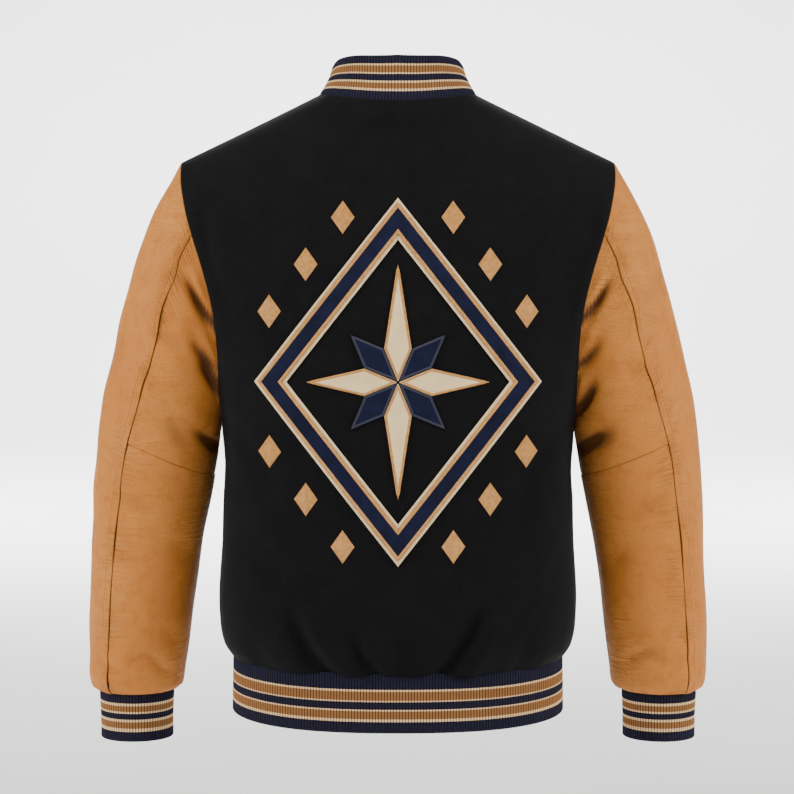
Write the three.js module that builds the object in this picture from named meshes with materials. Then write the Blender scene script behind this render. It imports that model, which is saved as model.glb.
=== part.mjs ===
// A varsity jacket filled out as if worn: a hollow wool body closed down the front, two-piece leather
// sleeves, a rib-knit collar, cuffs and hem band, snap caps, and a felt applique on the back.
// Millimetres, +Z up. The front faces -Y and the wearer's left is +X. The origin is in the middle of
// the neck, at the height of the neck points, where the wearer's neck and shoulders carry the jacket.
import * as THREE from 'three';

// Cloth thicknesses and the gap that every seam keeps
const WOOL = 2.0;
const LEATHER = 1.8;
const RIB_KNIT = 2.8;
const FELT = 1.2;
const SEAM_GAP = 0.3;

// The body is one rounded oblong at each height: its half-width, and its depth to the back and front
const OBLONG_POWER = 2.5;
const ARC_STEPS = 80;
const SIDE = { back: 1, front: -1 };
const HEM_SEAM_Z = -592;
const BODY = smoothTable(['z', 'side', 'back', 'front'], [
  [HEM_SEAM_Z, 177.6, 108.0, 108.0],
  [-578, 186.5, 115.0, 115.0],
  [-560, 190.0, 119.0, 118.5],
  [-533, 191.0, 120.5, 120.0],
  [-474, 188.3, 119.0, 121.0],
  [-428, 186.7, 118.0, 122.0],
  [-388, 185.0, 117.5, 122.5],
  [-343.5, 188.3, 117.0, 121.5],
  [-300, 188.3, 116.0, 119.0],
  [-250, 188.3, 113.5, 114.0],
  [-200, 188.3, 108.5, 106.0],
  [-150, 188.3, 100.0, 96.0],
  [-105, 188.3, 88.0, 84.0],
]);
const BODY_ROWS_Z = [HEM_SEAM_Z, -586, -576, -558, -525, -470, -415, -372];

// The hem hangs lower at the centre back than at the sides, by this much, from this height down
const HEM_SAG = 6;
const HEM_SAG_FROM_Z = -470;

// The armhole: a loop through the shoulder tip and the underarm, and how far out it lies at each height
const ARMHOLE_TOP_Z = -68;
const ARMHOLE_BOTTOM_Z = -343.5;
const ARMHOLE_MIDDLE_Z = (ARMHOLE_TOP_Z + ARMHOLE_BOTTOM_Z) / 2;
const ARMHOLE_HALF_HEIGHT = (ARMHOLE_TOP_Z - ARMHOLE_BOTTOM_Z) / 2;
const ARMHOLE_DEPTH = 60;
const ARMHOLE_REACH = smoothTable(['z', 'back', 'front'], [
  [ARMHOLE_BOTTOM_Z, 188.3, 188.3],
  [-290, 188.5, 186.5],
  [-245, 190.5, 187.0],
  [-214, 195.5, 190.5],
  [-171, 207.0, 200.0],
  [-148, 214.5, 208.0],
  [-121, 222.0, 217.0],
  [-90, 228.0, 226.0],
  [ARMHOLE_TOP_Z, 230.0, 230.0],
]);
// Degrees round the armhole from the shoulder tip; the body's rows and the sleeve's columns share them
const ARMHOLE_TURNS = [0, 11, 22, 33, 44, 65, 86, 104, 120, 140, 160, 180];
const BLADE_TURN = 44;
const BACK_SEAM_TURN = 65;
const FRONT_SEAM_TURN = 120;

// The neck seam: an oval, higher at the neck points than at the back, and much lower in front
const NECK_HALF_WIDTH = 84;
const NECK_HALF_DEPTH = 72;
const NECK_MIDDLE_Y = -10;
const NECK_BACK_Z = -8;
const NECK_POINT_Z = 4;
const NECK_FRONT_Z = -88;
const NECK_FRONT_POWER = 1.7;
const NECK_KNOT = 15;
const NECK_SHARE = 0.4;
const NECK_END_TURN = 30;
const NECK_COLUMNS = 6;
const SHOULDER_COLUMNS = 7;
const SHOULDER_BOW = -0.5;

// The left front lies over the right one; the right one is set in by this much under it
const OVERLAP = 15;
const OVERLAP_EASE = 20;
const UNDERLAP_INSET = WOOL + 2 * SEAM_GAP;

// Sleeve sections from the armhole to the cuff seam: the outer and inner ends of each, seen from
// behind, its half-depth, the y of its middle, and how much of the armhole's own shape it keeps
const SLEEVE = smoothTable(['at', 'outX', 'outZ', 'inX', 'inZ', 'depth', 'y', 'armhole'], [
  [0, 230.0, -68, 188.3, -343.5, 60.0, 0, 1.0],
  [1, 249.5, -102, 188.6, -347.0, 63.0, 0, 0.72],
  [2, 268.0, -141, 189.0, -351.5, 66.0, 1, 0.42],
  [3, 282.0, -184, 189.8, -357.0, 68.0, 2, 0.2],
  [4, 294.5, -230, 191.0, -365.0, 69.0, 3, 0.07],
  [5, 305.5, -278, 192.6, -376.0, 68.0, 3, 0.0],
  [6, 316.0, -323, 194.5, -391.0, 66.5, 3, 0.0],
  [7, 322.0, -371, 198.5, -411.0, 63.5, 2, 0.0],
  [8, 326.0, -417, 203.5, -437.0, 60.5, 0, 0.0],
  [9, 329.0, -470, 211.0, -474.0, 57.0, -4, 0.0],
  [10, 332.0, -526, 219.0, -527.0, 53.5, -9, 0.0],
  [11, 334.5, -577, 225.5, -575.0, 50.5, -13, 0.0],
  [12, 335.0, -609, 230.0, -607.0, 48.0, -16, 0.0],
  [13, 333.0, -630, 233.5, -630.0, 43.5, -18, 0.0],
  [14, 325.3, -637, 243.7, -637.0, 37.2, -18, 0.0],
]);
const SLEEVE_ROWS = [0, 1, 2, 3, 4, 5, 6.5, 8, 9, 10, 11, 12, 13, 14];
const ELBOW_ROW = 6.5;
const EVEN_BY = 4;
// How far to each side a curve is looked at to find its direction: in radians, or in rows
const NEARBY = 0.02;
const BACK_SEAM = smoothTable(['at', 'turn'], [[0, BACK_SEAM_TURN], [4, 75], [7, 66], [10, 60], [14, 58]]);

// Soft troughs in the cloth: a line seen from behind or from the front, its half-width and depth.
// They fade out towards the panels' edges and towards the armhole.
const BODY_FOLD_FADE = 0.12;
const SLEEVE_FOLD_FADE = 0.8;
const BODY_FOLDS = {
  back: foldTable([
    [-68, -520, -34, -596, 15, 3.2],
    [104, -532, 62, -596, 15, 2.8],
    [22, -548, 26, -596, 12, 1.6],
    [-196, -120, -186, -232, 13, 2.6],
    [196, -128, 185, -222, 13, 2.3],
    [-170, -350, -132, -420, 16, 2.2],
    [168, -352, 136, -408, 16, 2.0],
  ]),
  front: foldTable([
    [-84, -528, -52, -596, 15, 2.8],
    [96, -518, 66, -596, 15, 3.0],
    [-188, -130, -172, -236, 14, 2.6],
    [190, -124, 174, -228, 14, 2.4],
    [150, -360, 96, -418, 17, 2.2],
    [-152, -352, -104, -424, 17, 2.4],
  ]),
};
const SLEEVE_FOLDS = {
  back: foldTable([
    [214, -200, 196, -246, 9, 4.5],
    [216, -258, 192, -322, 10, 5.5],
    [236, -330, 206, -384, 12, 3.0],
    [300, -420, 252, -436, 12, 2.2],
    [318, -598, 262, -608, 9, 2.0],
  ]),
  front: foldTable([
    [216, -210, 198, -262, 11, 5.0],
    [240, -270, 200, -330, 12, 4.5],
    [262, -356, 206, -392, 13, 3.5],
    [308, -410, 228, -446, 14, 3.2],
    [322, -470, 246, -486, 14, 2.2],
    [316, -594, 252, -606, 10, 2.2],
  ]),
};

// Rib-knit trims: the real rib pitch and the height of a rib, over a plain inside
const RIB_PITCH = 3.1;
const RIB_HEIGHT = 0.5;
const HEM_HALF_WIDTH = 177.0;
const HEM_HALF_DEPTH = 107.5;
const HEM_BOTTOM_GROWTH = 1.0;
const HEM_HEIGHT = 59;
const HEM_INNER_FACES = 66;
const CUFF_MIDDLE_X = 284.5;
const CUFF_MIDDLE_Y = -18;
const CUFF_TOP_Z = -637;
const CUFF_HEIGHT = 51;
const CUFF_INNER_FACES = 20;
const CUFF_TOP = { halfWidth: 40.6, halfDepth: 36.6 };
const CUFF_BOTTOM = { halfWidth: 39.2, halfDepth: 35.4 };
const COLLAR_COLUMNS_PER_KNOT = 13;
const COLLAR_END_COLUMN = 151;
const COLLAR_ROUND_TURN = 10;
const COLLAR_END_SHARE = 0.55;
const COLLAR = smoothTable(['turn', 'rise', 'forward', 'inward'], [
  [0, 48, 15, 0],
  [30, 46, 15, 4],
  [55, 40, 13, 9],
  [75, 32, 11, 12.5],
  [90, 28, 10, 13.5],
  [120, 30, 10, 8],
  [150, 31, 10, 4],
  [180, 29, 10, 0],
]);

// Snap caps down the middle of the left front, the last one on the hem band
const SNAP_COUNT = 7;
const SNAP_FIRST_Z = -112;
const SNAP_LAST_Z = -622;
const SNAP_RADIUS = 7.5;
const SNAP_HEIGHT = 2.6;
const SNAP_SIDES = 12;

// The back applique, in felt: a lozenge frame in two layers, an eight-pointed star and small lozenges
const PATCH_MIDDLE_Z = -297;
const FRAME_HALF_WIDTH = 146;
const FRAME_HALF_HEIGHT = 186;
const FRAME_BASE_SHARE = [0.775, 1];
const FRAME_TOP_SHARE = [0.81, 0.965];
const FRAME_STEPS = 12;
const FRAME_STRIPS = 3;
const LAYER_GAP = 0.5;
const STAR_POINTS = 8;
const STAR_START = 1.5;
const STAR_SHOULDER = 34;
const STAR_REACH = { upright: 118, level: 92, slanting: 68 };
const STAR_STEPS = 6;
const LOZENGE_HALF_HEIGHT = 17;
const LOZENGE_HALF_WIDTH = 12;
const LOZENGE_FROM_MIDDLE = 1.28;
const LOZENGE_SPREAD = 0.2;
const PATCH_GAP = 0.85;
const PATCH_FACING_REACH = 8;

// Colours from the cloth
const MATERIALS = {
  wool: cloth(0x1c1c1e, 0.95),
  leather: cloth(0xc98d52, 0.5),
  rib: cloth(0x20243e, 0.9),
  snap: new THREE.MeshStandardMaterial({ color: 0x8d7a52, roughness: 0.35, metalness: 0.9 }),
  feltNavy: cloth(0x23294f, 0.95),
  feltCream: cloth(0xe9dcbc, 0.95),
  feltGold: cloth(0xc9924f, 0.85),
};

function cloth(color, roughness) {
  return new THREE.MeshStandardMaterial({ color, roughness, metalness: 0 });
}

function radians(degrees) {
  return degrees * Math.PI / 180;
}

function mix(from, to, share) {
  return from + (to - from) * share;
}

function ease(share) {
  return THREE.MathUtils.smoothstep(share, 0, 1);
}

// Smooth values between a table's rows, with no overshoot, as a function of its first column
function smoothTable(columns, rows) {
  const places = rows.map((row) => row[0]);
  const tracks = columns.slice(1).map((_, k) => smoothTrack(places, rows.map((row) => row[k + 1])));
  return (place) => Object.fromEntries(columns.slice(1).map((name, k) => [name, tracks[k](place)]));
}

function smoothTrack(places, values) {
  const last = places.length - 1;
  const steps = places.slice(1).map((p, i) => (values[i + 1] - values[i]) / (p - places[i]));
  const slopes = places.map((_, i) => {
    const before = steps[Math.max(i - 1, 0)];
    const after = steps[Math.min(i, last - 1)];
    return before * after <= 0 ? 0 : 2 * before * after / (before + after);
  });
  return (place) => {
    const p = THREE.MathUtils.clamp(place, places[0], places[last]);
    let i = last - 1;
    while (i > 0 && places[i] > p) i -= 1;
    const span = places[i + 1] - places[i];
    const s = (p - places[i]) / span;
    return (1 + 2 * s) * (1 - s) ** 2 * values[i] + s * (1 - s) ** 2 * span * slopes[i]
      + s * s * (3 - 2 * s) * values[i + 1] + s * s * (s - 1) * span * slopes[i + 1];
  };
}

function foldTable(rows) {
  return rows.map(([x1, z1, x2, z2, halfWidth, depth]) => ({ x1, z1, x2, z2, halfWidth, depth }));
}

// How deep the troughs are at a place seen from behind or from the front
function foldDepth(folds, x, z) {
  return folds.reduce((total, fold) => {
    const alongX = fold.x2 - fold.x1;
    const alongZ = fold.z2 - fold.z1;
    const share = ((x - fold.x1) * alongX + (z - fold.z1) * alongZ) / (alongX ** 2 + alongZ ** 2);
    const near = THREE.MathUtils.clamp(share, 0, 1);
    const away = Math.hypot(x - fold.x1 - near * alongX, z - fold.z1 - near * alongZ);
    return total + fold.depth * Math.exp(-((away / fold.halfWidth) ** 2));
  }, 0);
}

// The strip of triangles between two lines of points. The lines may differ in number: each point has
// a share of its line's length, and the strip moves on along whichever line is behind.
function zip(lineA, lineB, sharesA = evenShares(lineA.length), sharesB = evenShares(lineB.length)) {
  const lastA = lineA.length - 1;
  const lastB = lineB.length - 1;
  const triangles = [];
  let a = 0;
  let b = 0;
  while (a < lastA || b < lastB) {
    const stepA = b === lastB || (a < lastA && sharesA[a + 1] <= sharesB[b + 1]);
    if (stepA) {
      triangles.push([lineA[a], lineA[a + 1], lineB[b]]);
      a += 1;
    } else {
      triangles.push([lineA[a], lineB[b + 1], lineB[b]]);
      b += 1;
    }
  }
  return triangles;
}

function turnedOver(triangles) {
  return triangles.map(([a, b, c]) => [a, c, b]);
}

function evenShares(count) {
  return Array.from({ length: count }, (_, i) => i / (count - 1));
}

// A closed wall between an outer and an inner surface, each given as rows of points. The two may
// have different numbers of points in a row, at given shares of it. A round wall's rows close up.
function wall(outer, inner, { isRound = false, outerShares, innerShares } = {}) {
  const points = [];
  const lines = (rows) => rows.map((row) => {
    const line = row.map((point) => points.push(point) - 1);
    return isRound ? [...line, line[0]] : line;
  });
  const outerLines = lines(outer);
  const innerLines = lines(inner);
  const lastRow = outer.length - 1;
  const triangles = [
    ...turnedOver(zip(outerLines[0], innerLines[0], outerShares, innerShares)),
    ...zip(outerLines[lastRow], innerLines[lastRow], outerShares, innerShares),
  ];
  for (let i = 0; i < lastRow; i += 1) {
    triangles.push(...zip(outerLines[i], outerLines[i + 1]));
    triangles.push(...turnedOver(zip(innerLines[i], innerLines[i + 1])));
  }
  if (!isRound) {
    const edges = (end) => zip(outerLines.map((line) => line.at(end)), innerLines.map((line) => line.at(end)));
    triangles.push(...edges(0), ...turnedOver(edges(-1)));
  }
  return solid(points, triangles);
}

// A geometry whose triangles point outwards, with those that have shrunk to nothing left out
function solid(points, triangles) {
  const whole = triangles.filter(([a, b, c]) => {
    const area = points[b].clone().sub(points[a]).cross(points[c].clone().sub(points[a])).length();
    return area > 1e-6;
  });
  const volume = whole.reduce((sum, [a, b, c]) => (
    sum + points[a].dot(points[b].clone().cross(points[c]))), 0);
  const index = whole.flatMap(([a, b, c]) => (volume > 0 ? [a, b, c] : [a, c, b]));
  const geometry = new THREE.BufferGeometry();
  geometry.setAttribute('position', new THREE.Float32BufferAttribute(points.flatMap((p) => p.toArray()), 3));
  geometry.setIndex(index);
  geometry.computeVertexNormals();
  return geometry;
}

// Outward directions at the points of a surface given as rows
function outwardDirections(rows) {
  const lastRow = rows.length - 1;
  const directions = rows.map((row, i) => row.map((_, j) => {
    const across = row[Math.min(j + 1, row.length - 1)].clone().sub(row[Math.max(j - 1, 0)]);
    const up = rows[Math.min(i + 1, lastRow)][j].clone().sub(rows[Math.max(i - 1, 0)][j]);
    return across.cross(up).normalize();
  }));
  const total = rows.reduce((sum, row, i) => row.reduce((part, point, j) => (
    part + directions[i][j].x * point.x + directions[i][j].y * point.y), sum), 0);
  if (total < 0) directions.forEach((row) => row.forEach((direction) => direction.negate()));
  return directions;
}

// The armhole seam at a turn from the shoulder tip, over the back to the underarm and up the front
function armholePoint(turn) {
  const z = ARMHOLE_MIDDLE_Z + ARMHOLE_HALF_HEIGHT * Math.cos(turn);
  const reach = ARMHOLE_REACH(z);
  return new THREE.Vector3(Math.sin(turn) < 0 ? reach.front : reach.back, ARMHOLE_DEPTH * Math.sin(turn), z);
}

// At the armhole seam: the way in to the middle of the loop, and the way across it to the sleeve
function armholeFrame(turn) {
  const along = armholePoint(turn + NEARBY).sub(armholePoint(turn - NEARBY)).normalize();
  const top = armholePoint(0);
  const slant = top.clone().sub(armholePoint(Math.PI)).normalize();
  const acrossLoop = new THREE.Vector3(slant.z, 0, -slant.x);
  const inward = along.clone().cross(acrossLoop).normalize();
  const middle = top.add(armholePoint(Math.PI)).multiplyScalar(0.5);
  if (inward.dot(middle.sub(armholePoint(turn))) < 0) inward.negate();
  const outward = inward.clone().cross(along).normalize();
  if (outward.x < 0) outward.negate();
  return { inward, outward };
}

// The oblong at a height: its half-width and depth, and the turn at which it meets the armhole
function oblong(face, z) {
  const section = BODY(z);
  if (z <= ARMHOLE_BOTTOM_Z) return { halfWidth: section.side, depth: section[face], endTurn: Math.PI / 2 };
  const turn = Math.acos((z - ARMHOLE_MIDDLE_Z) / ARMHOLE_HALF_HEIGHT);
  const edge = armholePoint(face === 'back' ? turn : -turn);
  const left = (1 - (Math.abs(edge.y) / section[face]) ** OBLONG_POWER) ** (1 / OBLONG_POWER);
  const endTurn = Math.asin(left ** (OBLONG_POWER / 2));
  return { halfWidth: edge.x / left, depth: section[face], endTurn };
}

// One level line of half the body, from its centre line (share 0) to its side seam or armhole (1)
function bodyLine(face, z) {
  const { halfWidth, depth, endTurn } = oblong(face, z);
  const points = Array.from({ length: ARC_STEPS + 1 }, (_, i) => {
    const turn = endTurn * i / ARC_STEPS;
    const x = halfWidth * Math.sin(turn) ** (2 / OBLONG_POWER);
    const y = SIDE[face] * depth * Math.max(Math.cos(turn), 0) ** (2 / OBLONG_POWER);
    return new THREE.Vector3(x, y, z);
  });
  return alongLine(points);
}

// A function that walks a line of points: 0 is its start and 1 its end, by length
function alongLine(points) {
  const lengths = [0];
  for (let i = 1; i < points.length; i += 1) lengths.push(lengths[i - 1] + points[i].distanceTo(points[i - 1]));
  const walk = (share) => {
    const wanted = share * lengths.at(-1);
    let i = 1;
    while (i < points.length - 1 && lengths[i] < wanted) i += 1;
    const part = (wanted - lengths[i - 1]) / (lengths[i] - lengths[i - 1]);
    return points[i - 1].clone().lerp(points[i], part);
  };
  walk.wholeLength = lengths.at(-1);
  return walk;
}

// How far the cloth hangs down at a place on the body, towards the centre back of the hem
function hemSag(y, z) {
  const backness = Math.max(y, 0) / BODY(HEM_SEAM_Z).back;
  return HEM_SAG * backness ** 2 * ease((HEM_SAG_FROM_Z - z) / (HEM_SAG_FROM_Z - HEM_SEAM_Z));
}

// The neck seam at a turn from the centre back; straight between its knots, as the panels' edges are
function neckKnot(turn) {
  const back = Math.cos(turn) > 0;
  const z = back
    ? mix(NECK_BACK_Z, NECK_POINT_Z, Math.sin(turn) ** 2)
    : mix(NECK_POINT_Z, NECK_FRONT_Z, Math.abs(Math.cos(turn)) ** NECK_FRONT_POWER);
  return new THREE.Vector3(NECK_HALF_WIDTH * Math.sin(turn), NECK_MIDDLE_Y + NECK_HALF_DEPTH * Math.cos(turn), z);
}

function neckPoint(turnDegrees) {
  const knot = Math.floor(turnDegrees / NECK_KNOT) * NECK_KNOT;
  const share = (turnDegrees - knot) / NECK_KNOT;
  return neckKnot(radians(knot)).lerp(neckKnot(radians(knot + NECK_KNOT)), share);
}

// The top edge of half a panel: round the neck, then out along the shoulder seam
function topEdge(face, share) {
  if (share <= NECK_SHARE) {
    const turn = 90 * share / NECK_SHARE;
    return neckPoint(face === 'back' ? turn : 180 - turn);
  }
  const along = (share - NECK_SHARE) / (1 - NECK_SHARE);
  const point = neckPoint(90).lerp(armholePoint(0), along);
  point.z += SHOULDER_BOW * Math.sin(Math.PI * along);
  return point;
}

// A place between the shoulder blades' level and the top edge, which the cloth reaches as it rounds over
function shoulderPoint(face, bladeLine, share, turnDegrees) {
  const low = bladeLine(share);
  const top = topEdge(face, share);
  const endTurn = radians(NECK_END_TURN * Math.max(1 - share / NECK_SHARE, 0));
  const blade = radians(BLADE_TURN);
  const turn = mix(endTurn, blade, turnDegrees / BLADE_TURN);
  const rise = (Math.cos(turn) - Math.cos(blade)) / (Math.cos(endTurn) - Math.cos(blade));
  const stay = (Math.sin(turn) - Math.sin(endTurn)) / (Math.sin(blade) - Math.sin(endTurn));
  return new THREE.Vector3(mix(low.x, top.x, rise), mix(top.y, low.y, stay), mix(low.z, top.z, rise));
}

// The rows of the wearer's left half of a face, each from the centre line out to the side or armhole
const HALF_SHARES = [
  ...Array.from({ length: NECK_COLUMNS }, (_, i) => NECK_SHARE * i / NECK_COLUMNS),
  ...Array.from({ length: SHOULDER_COLUMNS + 1 }, (_, i) => mix(NECK_SHARE, 1, i / SHOULDER_COLUMNS)),
];

const ROW_TURNS = [...BODY_ROWS_Z.map(() => null), ...[...ARMHOLE_TURNS].reverse()];

function halfRows(face) {
  const bladeZ = ARMHOLE_MIDDLE_Z + ARMHOLE_HALF_HEIGHT * Math.cos(radians(BLADE_TURN));
  const bladeLine = bodyLine(face, bladeZ);
  return ROW_TURNS.map((turn, i) => {
    const z = turn === null ? BODY_ROWS_Z[i] : ARMHOLE_MIDDLE_Z + ARMHOLE_HALF_HEIGHT * Math.cos(radians(turn));
    const line = bodyLine(face, Math.min(z, bladeZ));
    const isYoke = turn !== null && turn <= BLADE_TURN;
    const row = HALF_SHARES.map((share) => (isYoke ? shoulderPoint(face, bladeLine, share, turn) : line(share)));
    row.forEach((point, j) => {
      const fade = ease((1 - HALF_SHARES[j]) / BODY_FOLD_FADE);
      point.y -= SIDE[face] * fade * foldDepth(BODY_FOLDS[face], point.x, point.z);
      point.z -= hemSag(point.y, point.z);
    });
    if (turn !== null) {
      const edgeTurn = SIDE[face] * radians(turn);
      const edge = armholePoint(edgeTurn).addScaledVector(armholeFrame(edgeTurn).outward, -SEAM_GAP / 2);
      row[row.length - 1] = edge;
    }
    row.at(-1).y = SIDE[face] * Math.max(SIDE[face] * row.at(-1).y, SEAM_GAP / 2);
    if (turn === 0) {
      row.filter((_, j) => HALF_SHARES[j] >= NECK_SHARE && j < row.length - 1)
        .forEach((point) => { point.y += SIDE[face] * SEAM_GAP / 2; });
    }
    return row;
  });
}

// At a panel's edges its cloth is cut square to the seam, so that both sides of a seam run parallel
function squareToSeam(face, direction, point, rowIndex, share) {
  const turn = ROW_TURNS[rowIndex];
  if (share === 1 && turn !== null) {
    const { inward } = armholeFrame(SIDE[face] * radians(turn));
    direction.copy(inward).negate();
  } else if (share === 1) {
    direction.y = 0;
  } else if (turn === 0 && share < NECK_SHARE) {
    direction.set(point.x, point.y - NECK_MIDDLE_Y, 0);
  } else if (turn === 0 && share === NECK_SHARE) {
    direction.set(1, 0, 0);
  } else if (turn === 0) {
    direction.y = 0;
  }
  if (rowIndex === 0) direction.z = 0;
  direction.normalize();
}

// The wall of half a face, with any columns before its centre line, on the wearer's left
function panelSurfaces(face, rows, shares) {
  const outward = outwardDirections(rows);
  rows.forEach((row, i) => row.forEach((point, j) => squareToSeam(face, outward[i][j], point, i, shares[j])));
  const inner = rows.map((row, i) => row.map((point, j) => point.clone().addScaledVector(outward[i][j], -WOOL)));
  return { outer: rows, inner };
}

function mirrored(point) {
  return new THREE.Vector3(-point.x, point.y, point.z);
}

function mirroredSurfaces({ outer, inner }) {
  const flip = (rows) => rows.map((row) => row.map(mirrored));
  return { outer: flip(outer), inner: flip(inner) };
}

// The back in one piece: its left half and that half mirrored, joined down the centre line
function backPanel() {
  const left = panelSurfaces('back', halfRows('back'), HALF_SHARES);
  left.inner.forEach((row) => { row[0].x = 0; });
  const whole = (rows) => rows.map((row) => [...row.slice(1).reverse().map(mirrored), ...row]);
  return wall(whole(left.outer), whole(left.inner));
}

// A front, from its free edge past the centre line to the side seam
function frontRows() {
  return halfRows('front').map((row) => {
    const edge = mirrored(row[0].clone().lerp(row[1], OVERLAP / row[1].x));
    return [edge, ...row];
  });
}

function frontLeft() {
  const { outer, inner } = panelSurfaces('front', frontRows(), [0, ...HALF_SHARES]);
  return wall(outer, inner);
}

// How far a piece that lies under the left front is set in, at a distance from the centre line
function underlap(distance, inset) {
  return inset * (1 - ease((distance - OVERLAP - 2) / OVERLAP_EASE));
}

function frontRight() {
  const rows = frontRows();
  rows.forEach((row) => row.forEach((point) => { point.y += underlap(point.x, UNDERLAP_INSET); }));
  const { outer, inner } = mirroredSurfaces(panelSurfaces('front', rows, [0, ...HALF_SHARES]));
  return wall(outer, inner);
}

// The left sleeve's smooth form: a leaning oval at each place down the arm, which near its top
// takes the armhole's own shape. The turn runs from the outer side over the back.
function sleeveForm(at, turn) {
  const oval = (section) => new THREE.Vector3(
    mix(section.inX, section.outX, (1 + Math.cos(turn)) / 2),
    section.y + section.depth * Math.sin(turn),
    mix(section.inZ, section.outZ, (1 + Math.cos(turn)) / 2),
  );
  const section = SLEEVE(at);
  const fromArmhole = armholePoint(turn).sub(oval(SLEEVE(0)));
  return oval(section).addScaledVector(fromArmhole, section.armhole);
}

// The sleeve's surface with its folds, and the directions round it, down it and out of it
function sleevePlace(at, turn) {
  const round = sleeveForm(at, turn + NEARBY).sub(sleeveForm(at, turn - NEARBY)).normalize();
  const down = sleeveForm(at + NEARBY, turn).sub(sleeveForm(at - NEARBY, turn)).normalize();
  const out = round.clone().cross(down).normalize().negate();
  const point = sleeveForm(at, turn);
  const face = out.y > 0 ? 'back' : 'front';
  const depth = foldDepth(SLEEVE_FOLDS[face], point.x, point.z) * ease(at / SLEEVE_FOLD_FADE) * Math.abs(out.y);
  point.addScaledVector(out, -depth);
  if (at === 0) {
    const { inward, outward } = armholeFrame(turn);
    point.addScaledVector(outward, SEAM_GAP / 2);
    out.copy(inward).negate();
  }
  if (at === SLEEVE_ROWS.at(-1)) out.setZ(0).normalize();
  return { point, round, down, out };
}

// A sleeve piece between two lengthwise seams, over some of the rows. Its columns meet the armhole
// where the body's rows do, and spread evenly further down.
function sleevePiece(rows, armholeTurns, seamTurns) {
  const last = armholeTurns.length - 1;
  const surface = rows.map((at, i) => armholeTurns.map((turn, j) => {
    const [from, to] = seamTurns(at);
    const own = (turn - armholeTurns[0]) / (armholeTurns[last] - armholeTurns[0]);
    const share = mix(own, j / last, ease(at / EVEN_BY));
    const place = sleevePlace(at, radians(mix(from, to, share)));
    if (j === 0) place.point.addScaledVector(place.round, SEAM_GAP / 2);
    if (j === last) place.point.addScaledVector(place.round, -SEAM_GAP / 2);
    if (i === 0 && at === ELBOW_ROW) place.point.addScaledVector(place.down, SEAM_GAP / 2);
    if (i === rows.length - 1 && at === ELBOW_ROW) place.point.addScaledVector(place.down, -SEAM_GAP / 2);
    return place;
  }));
  const outer = surface.map((row) => row.map(({ point }) => point));
  const inner = surface.map((row) => row.map(({ point, out }) => point.clone().addScaledVector(out, -LEATHER)));
  return { outer, inner };
}

function sleevePieces() {
  const ring = [...ARMHOLE_TURNS, ...ARMHOLE_TURNS.slice(1, -1).reverse().map((turn) => 360 - turn)];
  const underTurns = ring.filter((turn) => turn >= BACK_SEAM_TURN && turn <= 360 - FRONT_SEAM_TURN);
  const topTurns = [
    ...ring.filter((turn) => turn >= 360 - FRONT_SEAM_TURN).map((turn) => turn - 360),
    ...ring.filter((turn) => turn <= BACK_SEAM_TURN),
  ];
  const topSeams = (at) => [-FRONT_SEAM_TURN, BACK_SEAM(at).turn];
  const underSeams = (at) => [BACK_SEAM(at).turn, 360 - FRONT_SEAM_TURN];
  const elbow = SLEEVE_ROWS.indexOf(ELBOW_ROW);
  return {
    top: sleevePiece(SLEEVE_ROWS, topTurns, topSeams),
    under_upper: sleevePiece(SLEEVE_ROWS.slice(0, elbow + 1), underTurns, underSeams),
    under_lower: sleevePiece(SLEEVE_ROWS.slice(elbow), underTurns, underSeams),
  };
}

// A rib-knit band: its outer points step in and out as the ribs do, and its inside is plain.
// place(share, level) gives a point on the smooth outside and the way in from it.
function ribBand(place, ribs, innerShares, isRound = false) {
  const outerShares = evenShares(2 * ribs + 1);
  const rows = (shares, depthAt) => [0, 1].map((level) => {
    const row = shares.map((share, i) => {
      const { point, inward } = place(share, level);
      return point.addScaledVector(inward, depthAt(i));
    });
    return isRound ? row.slice(0, -1) : row;
  });
  const outer = rows(outerShares, (i) => (i % 2 ? RIB_HEIGHT : 0));
  const inner = rows(innerShares, () => RIB_KNIT);
  return wall(outer, inner, { isRound, outerShares, innerShares });
}

function cuff(side) {
  const place = (share, level) => {
    const turn = 2 * Math.PI * share;
    const halfWidth = mix(CUFF_BOTTOM.halfWidth, CUFF_TOP.halfWidth, level);
    const halfDepth = mix(CUFF_BOTTOM.halfDepth, CUFF_TOP.halfDepth, level);
    const out = new THREE.Vector3(Math.cos(turn), Math.sin(turn), 0);
    const z = CUFF_TOP_Z - SEAM_GAP - CUFF_HEIGHT * (1 - level);
    const middle = new THREE.Vector3(side * CUFF_MIDDLE_X, CUFF_MIDDLE_Y, z);
    const point = middle.add(new THREE.Vector3(halfWidth * out.x, halfDepth * out.y, 0));
    return { point, inward: out.negate() };
  };
  const ribs = Math.round(Math.PI * (CUFF_TOP.halfWidth + CUFF_TOP.halfDepth) / RIB_PITCH);
  return ribBand(place, ribs, evenShares(CUFF_INNER_FACES + 1), true);
}

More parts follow.
